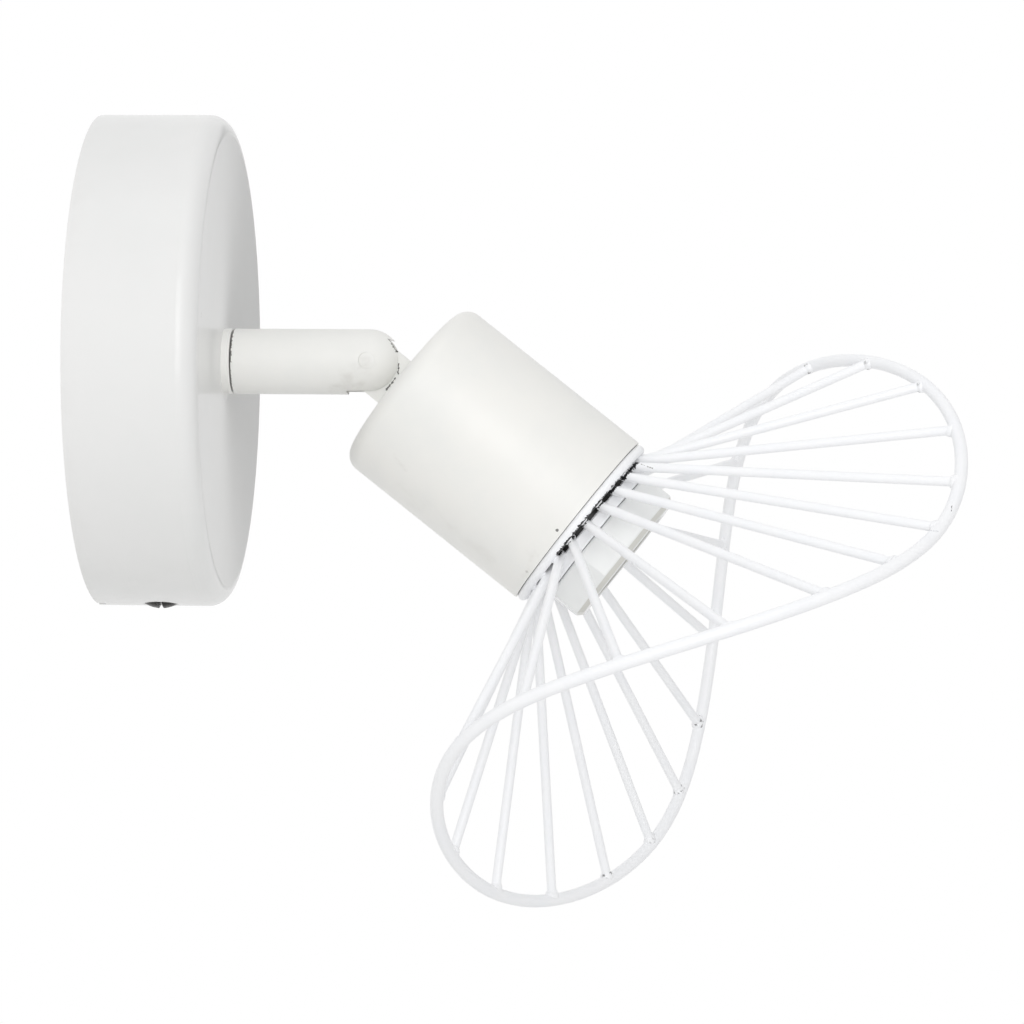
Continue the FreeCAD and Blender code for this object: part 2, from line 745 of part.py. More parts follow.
def make_arm_base_collar():
    """Thin bush of the arm's diameter in which the hollow stud turns."""
    body = new_body("arm_base_collar")
    bore = "(stud_radius + running_clearance)"
    turned(body, [(bore, hub_face), ("arm_radius", hub_face), ("arm_radius", collar_front),
                  (bore, collar_front)])
    rounded(body, circle_at("arm_radius", collar_front), "collar_edge")
    hole = sketch_on(body, "XY_Plane", collar_front)
    draw_circle(hole, "0", "-stop_pin_circle_radius", "stop_pin_radius + thread_clearance")
    cut_away(body, hole, "collar_thickness + overrun")
    body.Placement = on_wall_axis()
    return body


def make_stop_pin():
    """Pin through canopy and collar that ends the arm's swivel in the arm's groove."""
    body = new_body("swivel_stop_pin")
    circle = sketch_on(body, "XY_Plane", inner_face)
    draw_circle(circle, "0", "-stop_pin_circle_radius", "stop_pin_radius")
    raised(body, circle, "canopy_wall + collar_thickness + stop_pin_reach")
    body.Placement = on_wall_axis()
    return body


def make_arm():
    """Round arm with a tapped base, a stop groove and a slotted ball end."""
    body = new_body("arm")
    thread = "(stud_radius + thread_clearance)"
    shoulder = "(%s + stud_engagement)" % arm_base
    turned(body, [
        (thread, arm_base),
        ("arm_radius", arm_base),
        ("arm_radius", pivot_reach),
        ("0", "%s + arm_radius" % pivot_reach, "arm_radius", -1),
        ("0", pivot_reach),
        ("arm_bore_radius", pivot_reach),
        ("arm_bore_radius", shoulder),
        (thread, shoulder),
    ])
    rounded(body, circle_at("arm_radius", arm_base), "collar_edge")
    cut_stop_groove(body)
    cut_knuckle_slot(body)
    pin_hole = sketch_on(body, "YZ_Plane")
    draw_circle(pin_hole, "0", pivot_reach, "pin_radius + thread_clearance / 2")
    cut_away(body, pin_hole, "3 * arm_radius", both_ways=True)
    body.Placement = on_wall_axis()
    return body


def cut_stop_groove(body):
    """Ring groove in the arm's base, broken at the top by the land that meets the stop pin."""
    inner = "(stop_pin_circle_radius - stop_pin_radius - seat_clearance)"
    outer = "(stop_pin_circle_radius + stop_pin_radius + seat_clearance)"
    half_pin = "((stop_pin_radius + seat_clearance) / stop_pin_circle_radius * 180 / pi)"
    half_land = "(swivel_dead_angle / 2 - %s)" % half_pin
    groove = sketch_on(body, "XY_Plane", arm_base)
    ends = {}
    for radius in (inner, outer):
        circle = Part.Circle(FreeCAD.Vector(), FreeCAD.Vector(0, 0, 1), number(radius))
        start = math.radians(number("90 + %s" % half_land))
        end = math.radians(number("450 - %s" % half_land))
        arc = groove.addGeometry(Part.ArcOfCircle(circle, start, end), False)
        groove.addConstraint(Sketcher.Constraint("Coincident", arc, 3, -1, 1))
        hold(groove, Sketcher.Constraint("Radius", arc, number(radius)), radius)
        for place, sign in ((1, "-"), (2, "")):
            across = "%s%s * sin(%s)" % (sign, radius, half_land)
            hold(groove, Sketcher.Constraint("DistanceX", -1, 1, arc, place, number(across)), across)
            ends[radius, place] = groove.getPoint(arc, place)
    for place in (1, 2):
        line = groove.addGeometry(Part.LineSegment(ends[inner, place], ends[outer, place]), False)
        groove.addConstraint(Sketcher.Constraint("Coincident", line, 1, 0, place))
        groove.addConstraint(Sketcher.Constraint("Coincident", line, 2, 1, place))
    cut_away(body, groove, "stop_groove_depth", along_normal=True)


def cut_knuckle_slot(body):
    """Slot for the tongue: round behind the pivot, with straight sides at the two tilt limits."""
    gap = "(tongue_radius + joint_gap)"
    reach = "(3 * arm_radius)"
    upper = ("%s * cos(highest_tilt)" % gap, "%s + %s * sin(highest_tilt)" % (pivot_reach, gap))
    lower = ("-%s * cos(lowest_tilt)" % gap, "%s - %s * sin(lowest_tilt)" % (pivot_reach, gap))
    upper_end = ("%s - %s * sin(highest_tilt)" % (upper[0], reach),
                 "%s + %s * cos(highest_tilt)" % (upper[1], reach))
    lower_end = ("%s - %s * sin(lowest_tilt)" % (lower[0], reach),
                 "%s + %s * cos(lowest_tilt)" % (lower[1], reach))
    slot = sketch_on(body, "YZ_Plane")
    draw_outline(slot, [(upper[0], upper[1], gap, -1), upper_end, lower_end, lower])
    cut_away(body, slot, "slot_width", both_ways=True)


def make_hollow_stud():
    """Threaded tube that joins the arm to the canopy and carries the leads."""
    body = new_body("hollow_stud")
    end = "(%s + stud_engagement)" % arm_base
    turned(body, [("stud_bore_radius", stud_back), ("stud_radius", stud_back), ("stud_radius", end),
                  ("stud_bore_radius", end)])
    body.Placement = on_wall_axis()
    return body


def hexagon_nut(label, width, bore, back, height, placement):
    """A hexagon nut by its width across flats."""
    body = new_body(label)
    outline = sketch_on(body, "XY_Plane", back)
    draw_polygon(outline, "%s / 2 / cos(30)" % width, 6)
    draw_circle(outline, "0", "0", bore)
    raised(body, outline, height)
    body.Placement = placement
    return body


def make_stud_nut():
    return hexagon_nut("stud_nut", "stud_nut_width", "stud_radius + thread_clearance", stud_nut_back,
                       "stud_nut_height", on_wall_axis())


def make_disc_spring():
    """Conical spring washer that sets the swivel's friction."""
    body = new_body("stud_disc_spring")
    hole = "(stud_radius + free_clearance)"
    outer_back = "(%s + disc_spring_height - disc_spring_thickness)" % disc_spring_back
    turned(body, [(hole, disc_spring_back), ("disc_spring_radius", outer_back),
                  ("disc_spring_radius", stud_washer_back),
                  (hole, "%s + disc_spring_thickness" % disc_spring_back)])
    body.Placement = on_wall_axis()
    return body


def make_stud_washer():
    body = new_body("stud_flat_washer")
    hole = "(stud_radius + free_clearance)"
    front = "(%s + stud_washer_thickness)" % stud_washer_back
    turned(body, [(hole, stud_washer_back), ("stud_washer_radius", stud_washer_back),
                  ("stud_washer_radius", front), (hole, front)])
    body.Placement = on_wall_axis()
    return body


def make_hinge_pin():
    """Cross pin of the knuckle, its ends dressed flush with the ball."""
    rod = doc.addObject("Part::Cylinder", "hinge_pin_rod")
    rod.setExpression("Radius", bound("pin_radius"))
    rod.setExpression("Height", bound("2 * arm_radius"))
    rod.setExpression("Placement.Base.x", bound("-arm_radius"))
    rod.Placement.Rotation = FreeCAD.Rotation(FreeCAD.Vector(0, 1, 0), 90)
    ball = doc.addObject("Part::Sphere", "hinge_pin_ball")
    ball.setExpression("Radius", bound("arm_radius"))
    pin = doc.addObject("Part::Common", "hinge_pin")
    pin.Label = "hinge_pin"
    pin.Base = rod
    pin.Tool = ball
    pin.Placement = FreeCAD.Placement(FreeCAD.Vector(0, -number(pivot_reach), 0), FreeCAD.Rotation())
    doc.recompute()
    return pin


def make_tongue():
    """Flat tongue with a round eye, split by the wire channel, and a threaded hollow stub."""
    body = new_body("knuckle_tongue")
    upper = "(tongue_radius - axis_above_pivot)"
    lower = "(-tongue_radius - axis_above_pivot)"
    side = sketch_on(body, "YZ_Plane")
    draw_outline(side, [
        (upper, "0", "tongue_radius", -1),
        (upper, "pivot_to_cup"),
        (lower, "pivot_to_cup"),
        (lower, "0"),
        ("-axis_above_pivot", "-tongue_radius", "tongue_radius", -1),
    ])
    raised(body, side, "tongue_thickness", both_ways=True)
    stub = sketch_on(body, "XY_Plane", "pivot_to_cup")
    draw_circle(stub, "0", "0", "stub_radius")
    raised(body, stub, "stub_length")
    channel = sketch_on(body, "XZ_Plane")
    half = "tongue_channel_width / 2"
    draw_outline(channel, [("-%s" % half, "-2 * tongue_radius"), (half, "-2 * tongue_radius"),
                           (half, "tongue_channel_depth"), ("-%s" % half, "tongue_channel_depth")])
    cut_away(body, channel, "4 * tongue_radius", both_ways=True)
    bore = sketch_on(body, "XY_Plane", stub_end)
    draw_circle(bore, "0", "0", "stub_bore_radius")
    cut_away(body, bore, "%s - tongue_channel_depth + overrun" % stub_end)
    pin_hole = sketch_on(body, "YZ_Plane")
    draw_circle(pin_hole, "-axis_above_pivot", "0", "pin_radius + pin_clearance")
    cut_away(body, pin_hole, "2 * tongue_thickness", both_ways=True)
    body.Placement = in_head()
    return body


def make_lamp_cup():
    """Drawn cup with a rounded back edge, clamped at its back."""
    body = new_body("lamp_cup")
    hole = "(stub_radius + free_clearance)"
    skin = "(cup_radius - cup_wall)"
    turned(body, [(hole, "pivot_to_cup"), ("cup_radius", "pivot_to_cup"), ("cup_radius", cup_mouth),
                  (skin, cup_mouth), (skin, cup_inside), (hole, cup_inside)])
    rounded(body, circle_at("cup_radius", "pivot_to_cup"), "cup_bend")
    rounded(body, circle_at(skin, cup_inside), "cup_bend - cup_wall")
    body.Placement = in_head()
    return body


def make_tooth_washer():
    """Toothed lock washer under the cup's nut."""
    body = new_body("cup_tooth_washer")
    ring = sketch_on(body, "XY_Plane", cup_inside)
    draw_circle(ring, "0", "0", "tooth_washer_radius")
    draw_circle(ring, "0", "0", "stub_radius + free_clearance")
    raised(body, ring, "tooth_washer_thickness")
    gap = sketch_on(body, "XY_Plane", cup_nut_back)
    half = "tooth_gap_width / 2"
    inner = "(tooth_washer_radius - tooth_gap_depth)"
    draw_outline(gap, [("-%s" % half, inner), (half, inner), (half, "tooth_washer_radius + overrun"),
                       ("-%s" % half, "tooth_washer_radius + overrun")])
    notch = cut_away(body, gap, "tooth_washer_thickness + overrun")
    repeated(body, [notch], "tooth_count")
    body.Placement = in_head()
    return body


def make_cup_nut():
    return hexagon_nut("cup_nut", "cup_nut_width", "stub_radius + thread_clearance", cup_nut_back,
                       "cup_nut_height", in_head())


def make_holder_cap():
    """Rear half of the lampholder: a threaded neck on the stub, a cone and a skirt."""
    body = new_body("lampholder_cap")
    neck_end = "(holder_back + holder_neck_length)"
    cone_end = "(holder_back + holder_neck_length + holder_dome_length)"
    bore = "(stub_radius + thread_clearance)"
    turned(body, [
        (bore, "holder_back"),
        ("holder_neck_radius", "holder_back"),
        ("holder_neck_radius", neck_end),
        ("holder_radius", cone_end),
        ("holder_radius", "holder_split"),
        ("holder_radius - holder_wall", "holder_split"),
        ("holder_radius - holder_wall", cone_end),
        ("holder_neck_radius - holder_wall", neck_end),
        (bore, neck_end),
    ])
    body.Placement = in_head()
    return body


def make_holder_skirt():
    """Front half of the lampholder, with the outer thread for the ring nut and the shade's seat."""
    body = new_body("lampholder_skirt")
    flange_back = "(%s - holder_flange_thickness)" % shade_washer_back
    rear_bore = "(holder_radius - holder_wall)"
    shoulder = "(%s + seat_clearance)" % shell_flange_front
    turned(body, [
        (rear_bore, "holder_split"),
        ("holder_radius", "holder_split"),
        ("holder_radius", flange_back),
        ("holder_flange_radius", flange_back),
        ("holder_flange_radius", shade_washer_back),
        ("holder_radius", shade_washer_back),
        ("holder_radius", holder_front),
        ("holder_mouth_radius", holder_front),
        ("holder_mouth_radius", shoulder),
        (rear_bore, shoulder),
    ])
    body.Placement = in_head()
    return body


def make_contact_block():
    """Insulating block that carries shell, contact and terminals, with holes for wires and screws
    in its back and a recess for the centre contact in its front."""
    body = new_body("contact_block")
    radius = "(holder_radius - holder_wall - free_clearance)"
    turned(body, [("0", "contact_block_back"), (radius, "contact_block_back"), (radius, contact_block_front),
                  ("0", contact_block_front)])
    wires = sketch_on(body, "XY_Plane", "contact_block_back")
    draw_circle(wires, "-wire_hole_spread", "0", "wire_hole_radius")
    draw_circle(wires, "wire_hole_spread", "0", "wire_hole_radius")
    cut_away(body, wires, "wire_hole_depth", along_normal=True)
    screws = sketch_on(body, "XY_Plane", "contact_block_back")
    draw_circle(screws, "-holder_screw_spread", "0", "holder_screw_radius + thread_clearance")
    draw_circle(screws, "holder_screw_spread", "0", "holder_screw_radius + thread_clearance")
    cut_away(body, screws, "holder_screw_length + free_clearance", along_normal=True)
    recess = sketch_on(body, "XY_Plane", contact_block_front)
    draw_circle(recess, "0", "0", "contact_recess_radius")
    cut_away(body, recess, contact_recess_depth)
    body.Placement = in_head()
    return body


def make_threaded_shell():
    """Shell that the lamp's cap screws into, with a flange held between block and skirt."""
    body = new_body("threaded_shell")
    outer = "(shell_radius + shell_wall)"
    turned(body, [("shell_radius", contact_block_front), ("shell_flange_radius", contact_block_front),
                  ("shell_flange_radius", shell_flange_front), (outer, shell_flange_front),
                  (outer, shell_front), ("shell_radius", shell_front)])
    body.Placement = in_head()
    return body


def make_centre_contact():
    """Spring strip in the block's recess that meets the lamp's centre contact."""
    body = new_body("centre_contact")
    top = "(%s + contact_thickness)" % contact_seat
    profile = sketch_on(body, "XZ_Plane")
    draw_outline(profile, [
        ("-contact_reach", contact_seat),
        ("-contact_reach / 4", contact_seat),
        ("contact_reach * 3 / 4", "%s + contact_rise" % contact_seat),
        ("contact_reach * 3 / 4", "%s + contact_rise" % top),
        ("-contact_reach / 4", top),
        ("-contact_reach", top),
    ])
    raised(body, profile, "contact_width", both_ways=True)
    body.Placement = in_head()
    return body


def make_holder_screws():
    """Two terminal screws in the back of the contact block."""
    blank = screw_blank("holder_screw_blank", "holder_screw_head_radius", "holder_screw_head_height",
                        "holder_screw_radius", "holder_screw_length")
    spread = number("holder_screw_spread")
    back = number("contact_block_back")
    across = FreeCAD.Vector(1, 0, 0)
    screws = [copy_at(blank, place, 0, back, across, 180) for place in (-spread, spread)]
    return grouped("lampholder_screws", screws, in_head())


def make_ring_nut():
    """Eight-sided ring nut that clamps the shade on the lampholder."""
    body = new_body("shade_ring_nut")
    outline = sketch_on(body, "XY_Plane", ring_nut_back)
    draw_polygon(outline, "ring_nut_radius", 8, "ring_nut_turn")
    draw_circle(outline, "0", "0", "holder_radius + seat_clearance")
    raised(body, outline, "ring_nut_length")
    bevelled(body, flat_edge_at(ring_nut_back), "ring_nut_chamfer")
    bevelled(body, flat_edge_at(ring_nut_front), "ring_nut_front_chamfer")
    body.Placement = in_head()
    return body


def make_shade_washer():
    """Thick washer that carries the wires of the shade."""
    body = new_body("shade_washer")
    hole = "(holder_radius + free_clearance)"
    turned(body, [(hole, shade_washer_back), ("shade_washer_radius", shade_washer_back),
                  ("shade_washer_radius", shade_washer_front), (hole, shade_washer_front)])
    rounded(body, circle_at("shade_washer_radius", shade_washer_back), "shade_washer_edge")
    rounded(body, circle_at("shade_washer_radius", shade_washer_front), "shade_washer_edge")
    body.Placement = in_head()
    return body


def make_base_ring():
    """Wire ring at the cup's mouth, under the wires of the shade."""
    ring = doc.addObject("Part::Torus", "shade_base_ring")
    ring.Label = "shade_base_ring"
    ring.setExpression("Radius1", bound("ring_radius"))
    ring.setExpression("Radius2", bound("ring_wire_radius"))
    doc.recompute()
    lift = FreeCAD.Placement(FreeCAD.Vector(0, 0, number(ring_height)), FreeCAD.Rotation())
    ring.Placement = in_head().multiply(lift)
    return ring


def rim_at(angle):
    """Point and unit heading of the rim wire's centre line at an azimuth in degrees: a circle that
    rises and falls twice in a turn, drawn in where it stands high, and slightly aslant."""
    turn = math.radians(angle)
    twice = 2 * math.radians(angle - number("saddle_turn"))
    draw_in = number("saddle_crest_inset")
    squaring = number("saddle_corner_inset")
    height = number("saddle_height")
    sharpening = number("saddle_crest_height")
    drop = number("rim_skew_offset")
    lean = number("rim_skew_height")
    reach = number("rim_radius") - draw_in * math.cos(twice) - squaring * math.cos(2 * twice)
    reach -= drop * math.sin(turn)
    widening = 2 * draw_in * math.sin(twice) + 4 * squaring * math.sin(2 * twice) - drop * math.cos(turn)
    level = number("rim_distance") + height * math.cos(twice) - sharpening * math.cos(2 * twice)
    level += lean * math.sin(turn)
    climb = 4 * sharpening * math.sin(2 * twice) - 2 * height * math.sin(twice) + lean * math.cos(turn)
    point = FreeCAD.Vector(-reach * math.cos(turn), reach * math.sin(turn), level)
    heading = FreeCAD.Vector(reach * math.sin(turn) - widening * math.cos(turn),
                             reach * math.cos(turn) + widening * math.sin(turn), climb)
    return point, heading.normalize()


def spoke_angles():
    count = int(number("spoke_count"))
    return [number("spoke_turn") + 360 * index / count for index in range(count)]


def tangent_arc(start, control, end):
    """The arc that leaves a point towards a control point and arrives at another from there."""
    half = (end - start).Length / 2
    middle = (start + end) * 0.5
    rise = (control - middle).Length
    run = math.hypot(half, rise)
    radius = run * half / rise
    depth = radius - radius * half / run
    return Part.Arc(start, middle + (control - middle).normalize() * depth, end).toShape()


def rim_edges():
    """The rim's closed centre line as pairs of tangent arcs from spoke to spoke."""
    stations = [rim_at(angle) for angle in spoke_angles()]
    edges = []
    for (start, heading), (end, arrival) in zip(stations, stations[1:] + stations[:1]):
        chord = end - start
        both = heading + arrival
        square = 2 * (1 - heading.dot(arrival))
        across = chord.dot(both)
        step = (math.sqrt(across ** 2 + square * chord.dot(chord)) - across) / square
        first = start + heading * step
        second = end - arrival * step
        meeting = (first + second) * 0.5
        edges.append(tangent_arc(start, first, meeting))
        edges.append(tangent_arc(meeting, second, end))
    return edges


def tube_along(edges, radius):
    """A round solid of one radius along tangent edges."""
    first = edges[0]
    start = first.valueAt(first.FirstParameter)
    section = Part.Wire([Part.Circle(start, first.tangentAt(first.FirstParameter), radius).toShape()])
    return Part.Wire(edges).makePipeShell([section], True, False)


def make_rim():
    """Closed saddle-shaped wire through the ends of the spokes."""
    edges = rim_edges()
    rim = tube_along(edges, number("rim_wire_radius"))
    length = sum(edge.Length for edge in edges)
    share = rim.Volume / (math.pi * number("rim_wire_radius") ** 2 * length)
    print("rim: %.1f long, volume %.4f of section times length" % (length, share))
    return grouped("shade_rim", [rim], in_head())


def make_spokes():
    """Straight wires that touch the base ring in front, run from the washer to the rim, and end
    in a hollow that fits round the rim wire."""
    spoke_radius = number("spoke_radius")
    offset = number("ring_wire_radius + spoke_radius + weld_gap")
    hollow = number("rim_wire_radius + weld_gap")
    ring_centre_height = number(ring_height)
    ring_reach = number("ring_radius")
    collar_reach = number("shade_washer_radius + weld_gap")
    axis = FreeCAD.Vector(0, 0, 1)
    collar = Part.makeCylinder(collar_reach, 2 * ring_centre_height)
    edges = rim_edges()
    spokes = []
    for index, angle in enumerate(spoke_angles()):
        rim_point = rim_at(angle)[0]
        outward = FreeCAD.Vector(rim_point.x, rim_point.y, 0).normalize()
        ring_centre = outward * ring_reach + axis * ring_centre_height
        span = rim_point - ring_centre
        rise = span.z
        run = span.dot(outward)
        lean = math.atan2(rise, run) + math.acos(offset / math.hypot(rise, run))
        touch = ring_centre + (outward * math.cos(lean) + axis * math.sin(lean)) * offset
        along = (rim_point - touch).normalize()
        start = touch - along * ((touch.dot(outward) - collar_reach) / along.dot(outward) + spoke_radius)
        wire = Part.makeCylinder(spoke_radius, (rim_point - start).Length, start, along)
        rim_here = tube_along([edges[2 * index - 1], edges[2 * index]], hollow)
        spokes.append(wire.cut(collar).cut(rim_here))
    return grouped("shade_spokes", spokes, in_head())


def make_leads():
    """Brown and blue leads in three lengths, parted at the swivel and at the tilt pivot, and an
    earth lead from the terminal block to the bracket's ring tag."""
    entry = "block_start + lead_radius"
    pair = "(lead_radius + thread_clearance)"
    leads = []
    for colour, pole, side in (("brown", "-pole_pitch", "-"), ("blue", "0", "")):
        across = side + pair
        leads.append(lead("canopy_lead_" + colour, [
            (pole, entry, pole_level),
            (pole, "block_start - lead_bend", pole_level),
            (across, "0", "%s / 2" % stud_back),
            (across, "0", "%s - joint_gap" % stud_back),
        ], on_wall_axis("canopy_turn")))
        rise = "(pin_radius + lead_radius + seat_clearance)"
        leads.append(lead("arm_lead_" + colour, [
            (across, "0", stud_back),
            (across, "0", "%s - arm_length / 2" % pivot_reach),
            (across, rise, "%s - tongue_radius" % pivot_reach),
            (across, rise, pivot_reach),
        ], on_wall_axis()))
        leads.append(lead("head_lead_" + colour, [
            (across, "%s - axis_above_pivot" % rise, "-lead_radius / 2"),
            (across, "%s - axis_above_pivot" % rise, "lead_radius"),
            (across, "0", "tongue_channel_depth + lead_radius"),
            (across, "0", "%s + 2 * lead_radius" % stub_end),
            (side + "wire_hole_spread", "0", "contact_block_back - 2 * lead_radius"),
            (side + "wire_hole_spread", "0", "contact_block_back + wire_hole_depth - lead_radius"),
        ], in_head()))
    barrel_level = "bracket_thickness + lead_radius + tag_thickness"
    bow = "tag_radius + tag_barrel_length + lead_bend"
    leads.append(lead("earth_lead", [
        ("pole_pitch", entry, pole_level),
        ("pole_pitch", "block_start - lead_bend", pole_level),
        (bow, "cable_hole_radius - cable_hole_offset", barrel_level),
        (bow, "-earth_screw_offset", barrel_level),
        ("tag_radius + tag_thickness", "-earth_screw_offset", barrel_level),
    ], on_wall_axis("canopy_turn")))
    return leads


sub_parts = [
    make_canopy(),
    make_wall_bracket(),
    make_side_screws(),
    make_earth_screw(),
    make_earth_tag(),
    make_terminal_block(),
    make_terminal_sleeves(),
    make_clamp_screws(),
    make_block_screw(),
    make_arm_base_collar(),
    make_stop_pin(),
    make_arm(),
    make_hollow_stud(),
    make_stud_nut(),
    make_disc_spring(),
    make_stud_washer(),
    make_hinge_pin(),
    make_tongue(),
    make_lamp_cup(),
    make_tooth_washer(),
    make_cup_nut(),
    make_holder_cap(),
    make_holder_skirt(),
    make_contact_block(),
    make_threaded_shell(),
    make_centre_contact(),
    make_holder_screws(),
    make_ring_nut(),
    make_shade_washer(),
    make_base_ring(),
    make_rim(),
    make_spokes(),
] + make_leads()
doc.recompute()

for member in doc.Objects:
    if "Invalid" in member.State or "Error" in member.State:
        raise RuntimeError("%s failed: %s" % (member.Label, member.State))
for sub_part in sub_parts:
    if sub_part.Shape.isNull() or not sub_part.Shape.isValid():
        raise RuntimeError("%s has no valid shape" % sub_part.Label)

os.makedirs("parts", exist_ok=True)
for sub_part in sub_parts:
    sub_part.Shape.exportStep("parts/%s.step" % sub_part.Label)
    print("%s: %d solids, volume %.1f" % (sub_part.Label, len(sub_part.Shape.Solids), sub_part.Shape.Volume))
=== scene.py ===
import math

import bmesh
import bpy
import numpy as np
from mathutils import Matrix, Vector


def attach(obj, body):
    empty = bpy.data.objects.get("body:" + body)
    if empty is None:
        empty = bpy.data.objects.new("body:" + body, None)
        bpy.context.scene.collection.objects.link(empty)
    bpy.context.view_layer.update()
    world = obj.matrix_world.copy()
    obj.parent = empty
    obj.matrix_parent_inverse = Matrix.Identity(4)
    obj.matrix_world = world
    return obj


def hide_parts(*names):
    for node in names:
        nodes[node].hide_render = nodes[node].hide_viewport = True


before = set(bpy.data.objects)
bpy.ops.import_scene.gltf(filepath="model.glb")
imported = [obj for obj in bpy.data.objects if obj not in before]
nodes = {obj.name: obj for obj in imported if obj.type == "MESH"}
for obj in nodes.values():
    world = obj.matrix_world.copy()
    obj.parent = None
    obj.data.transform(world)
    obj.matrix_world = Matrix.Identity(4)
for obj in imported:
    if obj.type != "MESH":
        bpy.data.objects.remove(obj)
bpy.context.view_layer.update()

print("frame loaded:", len(nodes), "nodes")

# metres and degrees, repeated from the part's own sizes
placing = {"headTilt": 38.1, "pivotReach": 0.0652, "axisAbovePivot": 0.0015}


def onWall(points):
    # local Z away from the wall and local Y up: (x, y, z) lands at (x, -z, y)
    return np.stack([points[..., 0], -points[..., 2], points[..., 1]], -1)


def onHead(points):
    # local Z along the head's axis, from the tilt pivot towards the shade: turned about X by a right
    # angle and the tilt, then moved out to the pivot
    angle = math.radians(90 + placing["headTilt"])
    c, s = math.cos(angle), math.sin(angle)
    x, y, z = points[..., 0], points[..., 1] + placing["axisAbovePivot"], points[..., 2]
    return np.stack([x, c * y - s * z - placing["pivotReach"], s * y + c * z], -1)


camera = {
    "target": (0.0, -0.10037, -0.03639),
    "azimuth": -86.408,
    "elevation": -0.446,
    "roll": 0.487,
    "distance": 0.9,
    # the focal length in pixels of a frame that is framePixels wide
    "focalPixels": 3691.4,
    "framePixels": 1024,
    "sensor": 36.0,
    "farthest": 20.0,
}


def towards(azimuth, elevation):
    # unit vector away from the target: (sin a cos e, -cos a cos e, sin e)
    az, el = math.radians(azimuth), math.radians(elevation)
    return Vector((math.sin(az) * math.cos(el), -math.cos(az) * math.cos(el), math.sin(el)))


def addCamera(settings):
    back, roll = towards(settings["azimuth"], settings["elevation"]), math.radians(settings["roll"])
    right = (-back).cross(Vector((0, 0, 1))).normalized()
    up = right.cross(-back)
    across = math.cos(roll) * right + math.sin(roll) * up
    over = math.cos(roll) * up - math.sin(roll) * right
    data = bpy.data.cameras.new("photoCamera")
    data.sensor_width = settings["sensor"]
    data.lens = settings["sensor"] * settings["focalPixels"] / settings["framePixels"]
    data.clip_end = settings["farthest"]
    view = bpy.data.objects.new("photoCamera", data)
    turn = Matrix((across, over, back)).transposed().to_4x4()
    view.matrix_world = Matrix.Translation(Vector(settings["target"]) + back * settings["distance"]) @ turn
    bpy.context.scene.collection.objects.link(view)
    bpy.context.scene.camera = view


addCamera(camera)

white = (1, 1, 1, 1)
studio = {
    "ambient": 0.80,
    # the room is darker ahead of the lamp, towards -Y
    "darkAhead": {"depth": 0.42, "from": (0.1, 0.95)},
    "key": {"azimuth": -80, "elevation": 5, "distance": 1.6, "size": (0.7, 1.9), "power": 9.6},
    "top": {"azimuth": -75, "elevation": 62, "distance": 1.5, "size": (1.0, 1.0), "power": 1.4},
    # a dark end of the room beside the wall, seen only in reflections that leave the wall at a low angle
    "darkEnd": {"depth": 1.0, "rise": (0.135, 0.172), "fall": (0.23, 0.31), "side": (0.91, 0.97)},
    "floorHeight": -0.25,
    "floorReach": 4.0,
    "floorPaper": {"Base Color": (0.91, 0.91, 0.905, 1), "Roughness": 0.9, "Specular IOR Level": 0.1},
    # the floor keeps its shading around this x and y, and turns white over this stretch of distances
    "shadowCentre": (0.0, -0.1),
    "shadowReach": (0.10, 0.34),
}


def addLamp(name, settings):
    toLamp = towards(settings["azimuth"], settings["elevation"])
    data = bpy.data.lights.new(name, "AREA")
    data.shape = "RECTANGLE"
    data.size, data.size_y = settings["size"]
    data.energy = settings["power"]
    lamp = bpy.data.objects.new(name, data)
    lamp.location = Vector(camera["target"]) + toLamp * settings["distance"]
    lamp.rotation_euler = toLamp.to_track_quat("Z", "Y").to_euler()
    bpy.context.scene.collection.objects.link(lamp)


def link(tree, source, target):
    tree.links.new(source, target)


def feed(tree, socket, value):
    # a number, a colour or a place is set on the socket, and anything else is another node's output
    if isinstance(value, (int, float)):
        socket.default_value = value
    elif isinstance(value, tuple):
        socket.default_value = (*value, 1) if socket.type == "RGBA" else value
    else:
        link(tree, value, socket)


def node(tree, kind, **settings):
    made = tree.nodes.new(kind)
    for key, value in settings.items():
        setattr(made, key, value)
    return made


def maths(tree, operation, first, second, clamp=False):
    made = node(tree, "ShaderNodeMath", operation=operation, use_clamp=clamp)
    feed(tree, made.inputs[0], first)
    feed(tree, made.inputs[1], second)
    return made.outputs[0]


def vectorMaths(tree, operation, first, second):
    # a distance or a dot product comes out as a value, anything else as a vector
    made = node(tree, "ShaderNodeVectorMath", operation=operation)
    feed(tree, made.inputs[0], first)
    feed(tree, made.inputs[1], second)
    return made.outputs["Value" if operation in ("DISTANCE", "DOT_PRODUCT") else "Vector"]


def newGroup(name, inputs, outputs):
    # inputs are (name, kind, value) rows and outputs (name, kind) rows of a shader node group
    group = bpy.data.node_groups.new(name, "ShaderNodeTree")
    kinds = {"value": "NodeSocketFloat", "colour": "NodeSocketColor", "vector": "NodeSocketVector"}
    for label, kind, value in inputs:
        socket = group.interface.new_socket(name=label, in_out="INPUT", socket_type=kinds[kind])
        if value is not None:
            socket.default_value = value
    for label, kind in outputs:
        group.interface.new_socket(name=label, in_out="OUTPUT", socket_type=kinds[kind])
    return group, node(group, "NodeGroupInput").outputs, node(group, "NodeGroupOutput").inputs


def noise(tree, coordinates, scale, detail, rough):
    made = node(tree, "ShaderNodeTexNoise")
    for key, value in (("Vector", coordinates), ("Scale", scale), ("Detail", detail), ("Roughness", rough)):
        feed(tree, made.inputs[key], value)
    return made.outputs["Fac"]


